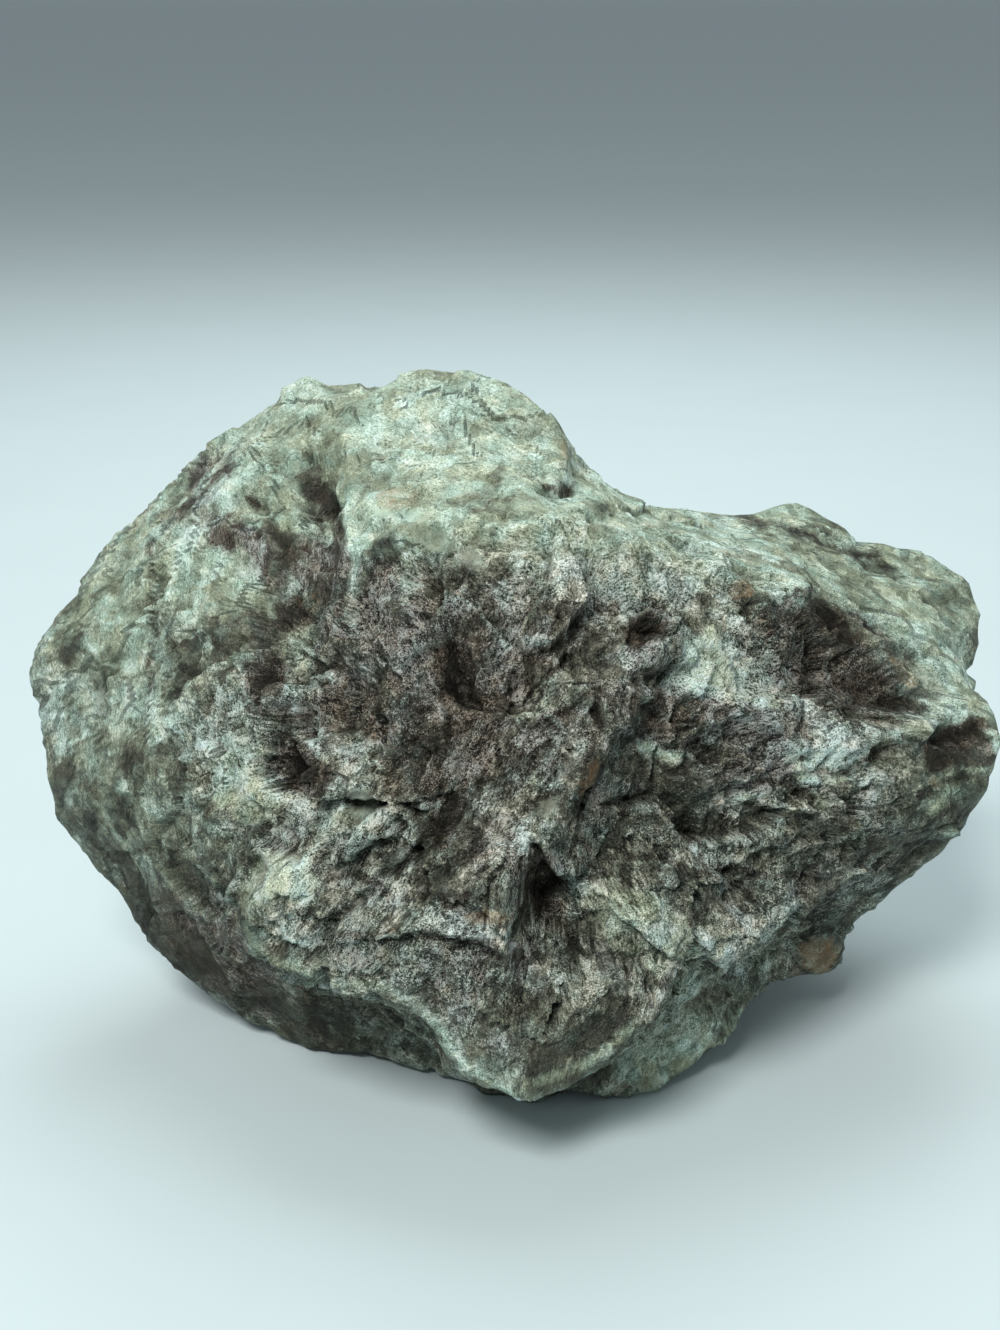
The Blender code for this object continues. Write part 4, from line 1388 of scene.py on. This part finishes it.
class Graph:
    """A material's nodes."""

    COLOUR_INPUTS = (6, 7)
    COLOUR_OUTPUT = 2

    def __init__(self, name: str) -> None:
        """A new material that holds a Principled BSDF.

        Args:
            name: the material's name.
        """
        self.material = bpy.data.materials.new(name)
        self.material.use_nodes = True
        self.nodes = self.material.node_tree.nodes
        self.links = self.material.node_tree.links
        self.shader = self.nodes["Principled BSDF"]

    def node(self, kind: str, settings: dict, inputs: dict) -> bpy.types.Node:
        """Any node.

        Args:
            kind: the node's type, without its ShaderNode prefix.
            settings: its own settings, set first.
            inputs: values or wires by socket name or number.

        Returns:
            The node.
        """
        made = self.nodes.new("ShaderNode" + kind)
        for name, value in settings.items():
            setattr(made, name, value)
        for key, value in inputs.items():
            self.feed(made.inputs[key], value)
        return made

    def feed(self, socket: bpy.types.NodeSocket, value: object) -> None:
        """Links a wire to a socket, or sets the socket's value.

        Args:
            socket: a node's input.
            value: a wire, a number or a colour.
        """
        if isinstance(value, Wire):
            self.links.new(value.socket, socket)
        else:
            socket.default_value = value

    def math(self, operation: str, *values: "Wire | Number") -> Wire:
        """A Math node's result."""
        made = self.node("Math", {"operation": operation}, dict(enumerate(values)))
        return Wire(self, made.outputs[0])

    def vector_math(self, operation: str, first: Wire, second: "Wire | Colour") -> Wire:
        """A Vector Math node's vector."""
        made = self.node("VectorMath", {"operation": operation}, {0: first, 1: second})
        return Wire(self, made.outputs[0])

    def mix(self, share: "Wire | Number", first: object, second: object, way: str = "MIX") -> Wire:
        """A Mix node's colour.

        Args:
            share: how much of the second colour is mixed in, from 0 to 1.
            first: a colour or its wire.
            second: another.
            way: how the second is laid over the first.

        Returns:
            The mixed colour.
        """
        settings = {"data_type": "RGBA", "blend_type": way, "clamp_factor": True}
        colours = dict(zip(self.COLOUR_INPUTS, (first, second)))
        made = self.node("Mix", settings, {0: share} | colours)
        return Wire(self, made.outputs[self.COLOUR_OUTPUT])

    def attribute(self, name: str, output: str = "Fac") -> Wire:
        """A mesh attribute's value or vector."""
        made = self.node("Attribute", {"attribute_name": name}, {})
        return Wire(self, made.outputs[output])

    def object_millimetres(self) -> Wire:
        """Object coordinates in mm.

        Returns:
            Their wire.
        """
        made = self.node("TexCoord", {}, {})
        scale = 1.0 / METRES_PER_MM
        return self.vector_math("MULTIPLY", Wire(self, made.outputs["Object"]), (scale,) * 3)

    def noise(self, place: Wire, size: float, detail: float, roughness: float = 0.55) -> Wire:
        """Noise about 0.5: size in mm, detail finer layers, each roughness times the last."""
        inputs = {"Vector": place, "Scale": 1.0 / size, "Detail": detail, "Roughness": roughness}
        return Wire(self, self.node("TexNoise", {}, inputs).outputs["Fac"])

    def noise_vector(self, place: Wire, size: float, detail: float) -> Wire:
        """Three noises as a vector, about 0.5 each."""
        inputs = {"Vector": place, "Scale": 1.0 / size, "Detail": detail}
        return Wire(self, self.node("TexNoise", {}, inputs).outputs["Color"])

    def flakes(self, place: Wire, size: float) -> tuple[Wire, Wire]:
        """Flat flakes about this many mm across, each with its own tilt.

        Args:
            place: where to look, in mm.
            size: the usual width of a flake, in mm.

        Returns:
            The height on its flake, (place - seed) . (random numbers - 0.5) / size, and one of the
            flake's random numbers, less 0.5.
        """
        made = self.node("TexVoronoi", {}, {"Vector": place, "Scale": 1.0 / size})
        way = self.vector_math("SUBTRACT", place, Wire(self, made.outputs["Position"]))
        tilt = self.vector_math("SUBTRACT", Wire(self, made.outputs["Color"]), (0.5, 0.5, 0.5))
        slope = self.node("VectorMath", {"operation": "DOT_PRODUCT"}, {0: way, 1: tilt})
        split = self.node("SeparateXYZ", {}, {0: tilt})
        return Wire(self, slope.outputs["Value"]) / size, Wire(self, split.outputs[0])


def opaque(colour: Colour) -> tuple[float, float, float, float]:
    """A colour with its alpha."""
    return (*colour, 1.0)


# ---- The finish -----------------------------------------------------------------------------


class Blend(Enum):
    """The stone's tones, each a run of colours from its darkest to its lightest grain."""

    GREEN = (
        (0.008, 0.009, 0.007), (0.072, 0.083, 0.067), (0.165, 0.193, 0.158), (0.49, 0.56, 0.49),
    )
    BROWN = (
        (0.006, 0.006, 0.005), (0.056, 0.051, 0.042), (0.135, 0.129, 0.111), (0.45, 0.45, 0.42),
    )
    # PALE and FROST are also laid on as painted light on faces that face up and as painted
    # highlights on rims and edges.
    PALE = (
        (0.050, 0.060, 0.042), (0.275, 0.360, 0.280), (0.50, 0.635, 0.52), (0.82, 0.94, 0.87),
    )
    FROST = (
        (0.045, 0.047, 0.040), (0.240, 0.265, 0.240), (0.47, 0.52, 0.48), (0.84, 0.90, 0.86),
    )
    # DARK is also laid on as painted shade in hollows and on shadow lines under ledges.
    DARK = (
        (0.004, 0.004, 0.003), (0.026, 0.022, 0.016), (0.080, 0.070, 0.053), (0.32, 0.29, 0.24),
    )


@dataclass
class Patterns:
    """The stone's patterns, as wires that its finish mixes.

    The noises are taken about 0, so that they can shift a limit. Sizes are in mm.

    Attributes:
        graph: the material's nodes.
        drift_size: the bends that all fibres and plates share.
        thread_size: fine fibres.
        grit_size: broken grains along the fibres.
        fold_size: folds along the fibres.
        net_size: the net of thin borders between grains.
        vein_size: the wider net of veins.
        cloud_size: slow changes of tone.
        mottle_size: patches of grains.
        speckle_size: single grains.
        grain_size: the sugary grain.
        plate_size: flat flakes across the stone.
        splinter_size: flakes along the fibres.
        fibre_drift: how far the bends shift the fibres, along and twice across them.
        place_drift: how far the bends shift the plates and nets.
        thread_squeeze: what the coordinates along and across the fibres are multiplied by for the
            threads, which draws them out.
        flow_squeeze: likewise, for grit, folds and splinters.
    """

    graph: Graph
    drift_size: float = 1.4
    thread_size: float = 0.24
    grit_size: float = 0.27
    fold_size: float = 2.0
    net_size: float = 0.5
    vein_size: float = 1.9
    cloud_size: float = 4.5
    mottle_size: float = 1.2
    speckle_size: float = 0.25
    grain_size: float = 0.13
    plate_size: float = 2.8
    splinter_size: float = 0.85
    fibre_drift: tuple[float, float, float] = (1.4, 0.8, 0.8)
    place_drift: tuple[float, float, float] = (2.4, 2.4, 2.4)
    thread_squeeze: tuple[float, float, float] = (0.2, 1.0, 1.0)
    flow_squeeze: tuple[float, float, float] = (0.42, 1.0, 1.0)

    def __post_init__(self) -> None:
        """Adds the patterns' nodes, first those on bent coordinates, then those on plain ones."""
        g = self.graph
        self.place = g.object_millimetres()
        drift = g.noise_vector(self.place, self.drift_size, 3.0)
        fibre_bend = g.vector_math("MULTIPLY", drift, self.fibre_drift)
        fibre = g.vector_math("ADD", g.attribute("fibre", "Vector"), fibre_bend)
        place_bend = g.vector_math("MULTIPLY", drift, self.place_drift)
        bent = g.vector_math("ADD", self.place, place_bend)
        thread_place = g.vector_math("MULTIPLY", fibre, self.thread_squeeze)
        flow = g.vector_math("MULTIPLY", fibre, self.flow_squeeze)
        self.inside = g.attribute("inside")
        self.bundle = g.attribute("bundle")
        self.broken = g.attribute("broken")

        self.threads = g.noise(thread_place, self.thread_size, 2.0, 0.6) - 0.5
        self.grit = g.noise(flow, self.grit_size, 3.0, 0.65) - 0.5
        folds = abs(g.noise(flow, self.fold_size, 4.0, 0.6) - 0.5)
        self.folds = (folds - 0.08) * self.inside
        self.net = g.noise(bent, self.net_size, 2.0, 0.6).ridge(0.045)
        self.veins = g.noise(bent, self.vein_size, 3.0, 0.55).ridge(0.02)
        self.plate, plate_number = g.flakes(bent, self.plate_size)
        self.plates = g.attribute("plate") + plate_number * 0.6
        self.splinter, self.splinter_number = g.flakes(flow, self.splinter_size)

        self.cloud = g.noise(self.place, self.cloud_size, 5.0, 0.6) - 0.5
        self.mottle = g.noise(self.place, self.mottle_size, 4.0, 0.65) - 0.5
        self.speckle = g.noise(self.place, self.speckle_size, 2.0, 0.65) - 0.5
        self.grain = g.noise(self.place, self.grain_size, 2.0, 0.7) - 0.5
        self.fractal = self.mottle * 2.6 + self.speckle * 0.7

    def stain(self, name: str) -> Wire:
        """A value that the skin's mesh carries."""
        return self.graph.attribute(name)


@dataclass(frozen=True)
class QuartzFinish:
    """Massive quartz: sugary and fibrous, grey-green with pale, brown and rusty parts.

    Limits say where a share is 0 and where it is 1. Those of zones and lines are in mm.

    Attributes:
        name: the material's name.
        stops: where the colours of a blend stand on a tone from 0 to 1.
        rust: the rusty spots' colour.
        pit_shade: the colour of the painted shade in the deepest hollows.
        painted_shade_tint: the colour of the painted shade, which the colours are multiplied by
            where the skin is sunk and low down near the table.
        warm: what they are multiplied by in the warmer parts.
        cool: what they are multiplied by in the cooler parts.
        hue_size: how wide the warmer and cooler parts are, in mm.
        relief: height of the finest relief, in metres.
        gloss: the strength of its mirror-like reflections.
        crack_and_shadow_limits: the gap to a crack line, some of which are painted shadow lines
            under ledges.
        shaded_hollow_limits: the depth inside a dark zone, which is dark colour and painted shade.
        pit_shade_limits: likewise, for its deepest part, which is painted shade.
        pore_limits: the fractal noise, for pores.
        crust_limits: the depth inside a pale zone.
        mint_limits: likewise, for its greenest part.
        glass_limits: the depth inside a smooth grain.
        rim_highlight_limits: the gap to a rim that is painted lighter as a highlight.
        pale_limits: the strength of the pale patches.
        brown_limits: the strength of the brown patches.
        rust_limits: the strength of the rusty patches.
        hue_limits: the hue noise.
        fibrous_limits: the bundles' random numbers.
    """

    name: str = "massive_quartz"
    stops: tuple[float, ...] = (0.05, 0.42, 0.66, 1.0)
    rust: Colour = (0.30, 0.19, 0.10)
    pit_shade: Colour = (0.007, 0.007, 0.005)
    painted_shade_tint: Colour = (0.30, 0.27, 0.24)
    warm: Colour = (1.10, 0.97, 0.87)
    cool: Colour = (0.94, 1.00, 1.02)
    hue_size: float = 2.6
    relief: float = 0.40 * METRES_PER_MM
    gloss: float = 0.18
    crack_and_shadow_limits: Limits = (0.12, 0.5)
    shaded_hollow_limits: Limits = (-0.35, 0.0)
    pit_shade_limits: Limits = (0.3, 0.9)
    pore_limits: Limits = (0.26, 0.5)
    crust_limits: Limits = (-0.12, 0.25)
    mint_limits: Limits = (0.35, 0.8)
    glass_limits: Limits = (-0.1, 0.2)
    rim_highlight_limits: Limits = (0.15, 0.75)
    pale_limits: Limits = (0.25, 0.9)
    brown_limits: Limits = (0.2, 0.75)
    rust_limits: Limits = (0.5, 1.0)
    hue_limits: Limits = (0.36, 0.64)
    fibrous_limits: Limits = (0.25, 0.75)

    def tones(self, tone: Wire, blend: Blend) -> Wire:
        """A run of colours over a tone.

        Args:
            tone: from 0 to 1.
            blend: which colours.

        Returns:
            The colour.
        """
        made = tone.graph.node("ValToRGB", {}, {0: tone})
        elements = made.color_ramp.elements
        for _ in self.stops[2:]:
            elements.new(0.5)
        for element, stop, colour in zip(elements, self.stops, blend.value):
            element.position = stop
            element.color = opaque(colour)
        return Wire(tone.graph, made.outputs["Color"])

    def tone(self, p: Patterns, rough: Wire, fibrous: Wire) -> Wire:
        """How light each grain is, from 0 to 1.

        Drawn-out patterns count inside a bundle and plain grain on its border. The fine ones are
        scaled by how rough the stone is, and the slow ones are added to them.

        Args:
            p: the patterns.
            rough: how rough the stone is.
            fibrous: 1 where the bundle is made of clear fibres.

        Returns:
            The tone.
        """
        drawn = p.threads * (fibrous * 1.5 + 0.2) + p.grit * 1.15 + p.splinter_number * 0.34
        fine = drawn * p.inside + p.speckle * 1.2 * (1.0 - p.inside)
        fine = fine + p.speckle * 0.5 + p.mottle * 0.6 + p.grain * 2.1
        fine = fine + p.folds * 1.2 + p.net * 0.26 + p.veins * 0.3
        return fine * rough + p.cloud * 0.4 + p.plates * 0.32 + (p.bundle - 0.5) * 0.10 + 0.45

    def dark_and_shade_share(self, p: Patterns, crack_and_shadow_line: Wire, sunk: Wire) -> Wire:
        """Near-black parts: hollows with dark colour and painted shade, cracks and painted shadow
        lines, cloudy blotches low down near the table, and pores.

        Args:
            p: the patterns.
            crack_and_shadow_line: 1 in a crack, and on a painted shadow line under a ledge.
            sunk: the ragged depth inside a dark zone, whose darkness is partly painted shade, in
                mm.

        Returns:
            1 where the stone is dark, and where shade is painted.
        """
        # Dark hollows: their own dark colour with painted shade.
        hollows = sunk.rise(*self.shaded_hollow_limits)
        # Dark cloudy blotches, only low down near the table at the front.
        blotches = (p.cloud * 3.0 + 0.1).limited() * p.stain("low") * 0.7
        pores = (-0.05 - p.fractal).rise(*self.pore_limits) * p.broken * 0.8
        return hollows.larger(crack_and_shadow_line * 0.85).larger(blotches).larger(pores)

    def pale_and_highlight_share(self, p: Patterns, brown: Wire) -> Wire:
        """Pale parts: broad patches, partly painted light from above, crusts, and painted
        highlights on rims and raised edges.

        Args:
            p: the patterns.
            brown: the strength of the brown patches, which the broad pale ones give way to.

        Returns:
            1 where the stone is pale, and where painted light lies.
        """
        broad = p.stain("pale") - brown * 0.6 + (1.0 - p.broken) * 0.46 - 0.10
        broad = broad + p.cloud * 0.8 + p.plates * 0.4 + p.fractal * 0.4
        crusts = (p.stain("pale_crust") + p.fractal * 0.8).rise(*self.crust_limits)
        # Painted highlights along the rims.
        rims = 1.0 - (p.stain("rim") + p.fractal * 0.3).rise(*self.rim_highlight_limits)
        light = broad.rise(*self.pale_limits).larger(crusts * 0.95)
        # Painted highlights on rims and on edges that stand out.
        return light.larger(rims * 0.9).larger(p.stain("edge") * 0.5)

    def base_colour(self, p: Patterns, tone: Wire, crack_and_shadow_line: Wire) -> Wire:
        """The blends laid over one another, from grey-green to the painted shade of the pits, then
        tinted, with painted shade in sunk places and low down.

        Args:
            p: the patterns.
            tone: how light each grain is.
            crack_and_shadow_line: 1 in a crack, and on a painted shadow line under a ledge.

        Returns:
            The colour.
        """
        g = p.graph
        stained = p.stain("brown")
        brown = stained + p.cloud * 1.2 + p.plates * 0.6 + p.fractal * 0.3
        rust = p.stain("rust") + p.cloud * 0.8 + p.fractal * 0.5
        sunk = p.stain("dark") + p.fractal * 0.7
        minty = p.stain("pale_crust").rise(*self.mint_limits)
        frosty = (p.broken * 0.8 + p.cloud * 2.4 - minty - 0.2).limited()
        clean = tone + minty * 0.28
        pale = g.mix(frosty, self.tones(clean, Blend.PALE), self.tones(clean, Blend.FROST))
        green = self.tones(tone, Blend.GREEN)
        colour = g.mix(brown.rise(*self.brown_limits), green, self.tones(tone, Blend.BROWN))
        # Pale patches, painted light from above and painted highlights on rims and edges.
        colour = g.mix(self.pale_and_highlight_share(p, stained), colour, pale)
        # Near-black parts, with the painted shade of hollows and shadow lines.
        dark = self.dark_and_shade_share(p, crack_and_shadow_line, sunk) * 0.9
        colour = g.mix(dark, colour, self.tones(tone, Blend.DARK))
        colour = g.mix(rust.rise(*self.rust_limits) * 0.5, colour, opaque(self.rust))
        # Painted shade: the deepest hollows go near-black.
        colour = g.mix(sunk.rise(*self.pit_shade_limits) * 0.75, colour, opaque(self.pit_shade))
        hue = g.noise(p.place, self.hue_size, 4.0, 0.6) + p.plates * 0.16
        tint = g.mix(hue.rise(*self.hue_limits), opaque(self.warm), opaque(self.cool))
        # Painted shade: the colour is darkened in sunk places and low down near the table.
        tint_and_shade = g.mix(p.stain("shade"), tint, opaque(self.painted_shade_tint))
        return g.mix(1.0, colour, tint_and_shade, "MULTIPLY")

    def material(self) -> bpy.types.Material:
        """The finish as a material: its base colour, its roughness and its finest relief.

        Returns:
            The material.
        """
        g = Graph(self.name)
        g.shader.inputs["Specular IOR Level"].default_value = self.gloss
        p = Patterns(g)
        # 1 in a crack, and on a painted shadow line under a ledge.
        crack_and_shadow_line = 1.0 - (p.stain("crack_and_shadow_line") + p.fractal * 0.35).rise(*self.crack_and_shadow_limits)
        glass = (p.stain("glass") + p.fractal * 0.2).rise(*self.glass_limits)
        fibrous = p.bundle.rise(*self.fibrous_limits)
        busy = (p.plates * 1.2 + 0.5).limited() * 0.7 + 0.6
        rough = (p.broken * 0.65 + 0.5) * (1.0 - glass * 0.8) * busy
        tone = self.tone(p, rough, fibrous)
        g.feed(g.shader.inputs["Base Color"], self.base_colour(p, tone, crack_and_shadow_line))

        dull = 0.50 + p.splinter_number * 0.4 - glass * 0.15 + p.stain("shade") * 0.2
        g.feed(g.shader.inputs["Roughness"], dull.limited())
        height = (p.threads * fibrous * 0.6 + p.grit + p.splinter) * p.inside
        height = height + p.speckle * 0.4 + p.mottle + p.folds * 2.4 - crack_and_shadow_line * 0.6
        height = height * rough + p.plate * 3.0
        bump = g.node("Bump", {}, {"Strength": 1.0, "Distance": self.relief, "Height": height})
        g.feed(g.shader.inputs["Normal"], Wire(g, bump.outputs["Normal"]))
        return g.material


# ---- The stone ------------------------------------------------------------------------------


@dataclass
class QuartzStone:
    """The whole stone: its fine skin, which stands for the solid, and its finish.

    Attributes:
        form: the skin as a distance from the heart.
        grid: the directions that the skin is worked out in.
        bundles: the lie of the fibres.
        stains: where the colours lie.
        finish: the material.
        splinters: length, width and height of each kind of splinter, in mm.
        flank_splinters: how much of them is left away from the broken front.
        even_wave: what is added to the splinters so that they are level on the whole.
        waver: how far the zones' and lines' borders waver, in mm.
        waver_size: the size of their wavering, in mm.
        near_reach: how many grid points away the closest surroundings lie.
        wide_reach: how many the wider ones do.
        smooth_reach: how many the skin is blurred over before its slope is read.
        sunk_depth: the depth below the closest surroundings that counts in full, in mm.
        wide_depth: likewise, below the wider ones.
        shade_shares: how much painted shade sunk places, widely sunk places and the low part near
            the table carry.
        edge_height: the height above the closest ones that makes an edge, which is painted lighter
            as a highlight, in mm.
        low_height: the heights between which low down begins, in mm.
        low_near: how near the low part starts and how near it is whole, in mm.
        low_shade_right: how far right the painted shade low down starts and how far right it is
            whole, in mm.
        zone_waver: shares of the waver that glass zones, cracks and painted shadow lines, and rims
            painted as highlights take.
        name: the mesh's name.
    """

    SPLINTER_SALT = 400
    SALTS_A_LAYER = 5
    WAVER_SALT = 420
    MERGE_DIGITS = 5

    form: StoneForm = field(default_factory=StoneForm)
    grid: SkinGrid = field(default_factory=SkinGrid)
    bundles: FibreBundles = field(default_factory=FibreBundles)
    stains: Stains = field(default_factory=Stains)
    finish: QuartzFinish = field(default_factory=QuartzFinish)
    splinters: tuple[tuple[float, float, float], ...] = ((7.0, 1.8, 0.34), (3.6, 0.9, 0.16))
    flank_splinters: float = 0.2
    even_wave: float = 0.5
    waver: float = 0.7
    waver_size: float = 1.8
    near_reach: int = 2
    wide_reach: int = 7
    smooth_reach: int = 4
    sunk_depth: float = 0.5
    wide_depth: float = 1.6
    shade_shares: tuple[float, float, float] = (0.5, 0.7, 0.5)
    edge_height: float = 0.45
    low_height: Limits = (18.0, 7.0)
    low_near: Limits = (6.0, -2.0)
    low_shade_right: Limits = (15.0, 5.0)
    zone_waver: tuple[float, float, float] = (0.3, 0.6, 0.3)
    name: str = "quartz_stone_skin"

    def splinter_relief(self, fibre: Array) -> Array:
        """Splinters side by side: height (even_wave - 2 |noise|), drawn out along the fibres.

        Args:
            fibre: the coordinates along and across the fibres, in mm.

        Returns:
            The relief, in mm.
        """
        relief = np.zeros(len(fibre))
        for layer, (length, width, height) in enumerate(self.splinters):
            cells = fibre / np.array([length, width, width])
            salt = self.SPLINTER_SALT + self.SALTS_A_LAYER * layer
            relief += height * (self.even_wave - 2.0 * np.abs(Chance.noise(cells, 1.0, salt)))
        return relief

    def painted_shade_and_highlight(self, places: Array, radius: Array) -> dict[str, Array]:
        """Painted shade and painted highlights that the skin's own relief and height lay on its
        colour.

        Args:
            places: points on the skin before its finest relief, in mm.
            radius: the skin's distance from the heart, in mm.

        Returns:
            shade, painted shade that darkens sunk places and the part low down near the table; low,
            1 near the table at the front; and edge, 1 where the skin stands out, which is painted
            lighter as a highlight.
        """
        sunk = self.grid.sunk(radius, self.near_reach)
        sunk_wide = self.grid.sunk(radius, self.wide_reach)
        right, _, near = self.form.sight.of_places(places).T
        low = smooth_step(*self.low_height, places[:, 2]) * smooth_step(*self.low_near, near)
        close_share, wide_share, low_shade_share = self.shade_shares
        # Painted shade low down near the table, left of the foot.
        low_shade = low_shade_share * low * smooth_step(*self.low_shade_right, right)
        # Painted shade in places sunk below their close and their wider surroundings.
        close = close_share * np.clip(sunk / self.sunk_depth, 0.0, 1.0)
        wide = wide_share * np.clip(sunk_wide / self.wide_depth, 0.0, 1.0)
        # Painted highlight: 1 where the skin stands out above its closest surroundings.
        edge = np.clip(-sunk / self.edge_height, 0.0, 1.0)
        return {"shade": np.clip(close + wide + low_shade, 0.0, 1.0), "low": low, "edge": edge}

    def stained(self, places: Array, skin: Array) -> dict[str, Array]:
        """Where the patches, zones and lines of colour lie.

        Args:
            places: points on the skin before its finest relief, in mm.
            skin: the same points with it, in mm.

        Returns:
            The strength of the patches, the depth inside the zones and the gap to the lines.
        """
        upness = self.grid.upness(skin, self.smooth_reach)
        waver = self.waver * Chance.noise_vector(places, self.waver_size, self.WAVER_SALT)
        for_glass, for_cracks_and_shadow_lines, for_rim_highlights = self.zone_waver
        stains = self.stains
        return {
            # Pale patches, and painted light from above on whatever faces up.
            "pale": stains.pale(skin, upness),
            "brown": stains.brown(skin, upness),
            "rust": stains.rust(skin),
            # The depth inside the dark zones, which carry painted shade.
            "dark": stains.zone_depth(skin, DARK_AND_SHADED_ZONES, waver),
            "pale_crust": stains.zone_depth(skin, PALE_ZONES, waver),
            "glass": stains.zone_depth(skin, GLASS_ZONES, for_glass * waver),
            # The gap to the cracks and to the painted shadow lines under ledges.
            "crack_and_shadow_line": stains.line_gap(skin, CRACKS_AND_SHADOW_LINES, for_cracks_and_shadow_lines * waver, stains.behind),
            # The gap to the rims painted lighter as highlights.
            "rim": stains.line_gap(skin, HIGHLIGHT_RIMS, for_rim_highlights * waver, -stains.far),
        }

    def skin(self) -> tuple[Array, dict[str, Array]]:
        """The skin's points and what its finish reads.

        Returns:
            Places in mm, and named values per point.
        """
        directions = self.grid.directions().reshape(-1, 3)
        smooth, rough, plate = self.form.radius(directions)
        places = np.array(self.form.heart) + directions * smooth[:, None]
        fibre, bundle, inside = self.bundles.coordinates(places)
        broken = self.form.broken_share(places)
        splintered = inside * (self.flank_splinters * (1.0 - broken) + broken)
        rough = rough + self.splinter_relief(fibre) * splintered
        skin = self.form.settled(directions, rough)
        values = {
            "fibre": fibre, "bundle": bundle, "inside": inside, "broken": broken, "plate": plate,
        }
        values |= self.painted_shade_and_highlight(places, rough)
        values |= self.stained(places, skin)
        return self.grid.trimmed(skin), {key: self.grid.trimmed(one) for key, one in values.items()}

    def build(self) -> bpy.types.Object:
        """The closed skin as a mesh: the six grids, joined where their edges meet.

        Returns:
            The stone, on its body and in place of its solid.
        """
        places, values = self.skin()
        _, first, number = np.unique(
            np.round(places, self.MERGE_DIGITS), axis=0, return_index=True, return_inverse=True
        )
        faces = number.reshape(-1)[self.grid.faces()]
        mesh = bpy.data.meshes.new(self.name)
        mesh.from_pydata(places[first] * METRES_PER_MM, [], faces.tolist())
        for key, one in values.items():
            is_vector = one.ndim > 1
            kind = "FLOAT_VECTOR" if is_vector else "FLOAT"
            layer = mesh.attributes.new(key, kind, "POINT")
            layer.data.foreach_set("vector" if is_vector else "value", one[first].ravel())
        mesh.update()
        mesh.shade_smooth()
        mesh.materials.append(self.finish.material())
        stone = bpy.data.objects.new(self.name, mesh)
        bpy.context.scene.collection.objects.link(stone)
        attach(stone, BODY)
        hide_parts(NODE)
        LOG.info("%s: %d points, %d squares", self.name, len(mesh.vertices), len(mesh.polygons))
        return stone


# ---- The studio -----------------------------------------------------------------------------


@dataclass(frozen=True)
class SoftLight:
    """A square light that looks at a point.

    Attributes:
        name: the light's name.
        place: where it stands, in metres.
        target: the point that it looks at, in metres.
        size: its side, in metres.
        power: its power, in watts.
        colour: its colour.
    """

    name: str
    place: tuple[float, float, float]
    target: tuple[float, float, float]
    size: float
    power: float
    colour: Colour

    def build(self) -> bpy.types.Object:
        """The light as an object.

        Returns:
            The light, linked to the scene.
        """
        data = bpy.data.lights.new(self.name, "AREA")
        data.size = self.size
        data.energy = self.power
        data.color = self.colour
        light = bpy.data.objects.new(self.name, data)
        light.location = self.place
        way = Vector(self.place) - Vector(self.target)
        light.rotation_euler = way.to_track_quat("Z", "Y").to_euler()
        bpy.context.scene.collection.objects.link(light)
        return light


@dataclass(frozen=True)
class Studio:
    """A pale floor, a key light above and behind, and soft light all round.

    Attributes:
        sight: where the camera stands.
        floor_colour: the floor's colour.
        floor_mottle: how much darker its darkest parts are, as a factor.
        floor_mottle_size: how wide those parts are, in mm.
        floor_roughness: the floor's roughness.
        floor_radius: half the floor's side, in metres.
        sky: colour of the light all round.
        sky_strength: its strength.
        lights: the lamps.
    """

    sight: Sight = Sight()
    floor_colour: Colour = (0.58, 0.68, 0.70)
    floor_mottle: float = 0.96
    floor_mottle_size: float = 25.0
    floor_roughness: float = 0.55
    floor_radius: float = 40.0
    sky: Colour = (0.86, 0.95, 1.0)
    sky_strength: float = 0.32
    lights: tuple[SoftLight, ...] = (
        SoftLight("key", (0.02, 0.28, 0.42), (0.0, 0.0, 0.03), 0.30, 1.38, (0.93, 1.0, 0.99)),
        SoftLight("front", (-0.22, -0.50, 0.72), (0.0, 0.0, 0.03), 0.30, 6.8, (1.0, 0.98, 0.95)),
    )

    def floor_finish(self) -> bpy.types.Material:
        """A pale, dull surface with a faint mottle.

        Returns:
            The material.
        """
        g = Graph("pale_table")
        mottle = g.noise(g.object_millimetres(), self.floor_mottle_size, 2.0)
        dark = tuple(self.floor_mottle * part for part in self.floor_colour)
        colour = g.mix(mottle, opaque(self.floor_colour), opaque(dark))
        g.feed(g.shader.inputs["Base Color"], colour)
        g.shader.inputs["Roughness"].default_value = self.floor_roughness
        return g.material

    def floor(self) -> bpy.types.Object:
        """A flat square floor.

        Returns:
            The floor.
        """
        half = self.floor_radius
        mesh = bpy.data.meshes.new("floor")
        corners = [(-half, -half, 0.0), (half, -half, 0.0), (half, half, 0.0), (-half, half, 0.0)]
        mesh.from_pydata(corners, [], [(0, 1, 2, 3)])
        mesh.materials.append(self.floor_finish())
        floor = bpy.data.objects.new("floor", mesh)
        bpy.context.scene.collection.objects.link(floor)
        return floor

    def build(self) -> None:
        """The floor, the sky, the lights and the camera."""
        self.floor()
        world = bpy.data.worlds.new("soft_sky")
        world.use_nodes = True
        background = world.node_tree.nodes["Background"]
        background.inputs["Color"].default_value = opaque(self.sky)
        background.inputs["Strength"].default_value = self.sky_strength
        bpy.context.scene.world = world
        for light in self.lights:
            light.build()
        self.sight.make_camera()
        bpy.context.scene.view_settings.view_transform = "Standard"
        LOG.info("studio: %d lights", len(self.lights))


def main() -> None:
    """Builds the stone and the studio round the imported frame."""
    logging.basicConfig(level=logging.INFO, format="%(message)s")
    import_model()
    Studio().build()
    QuartzStone().build()


if __name__ == "__main__":
    main()
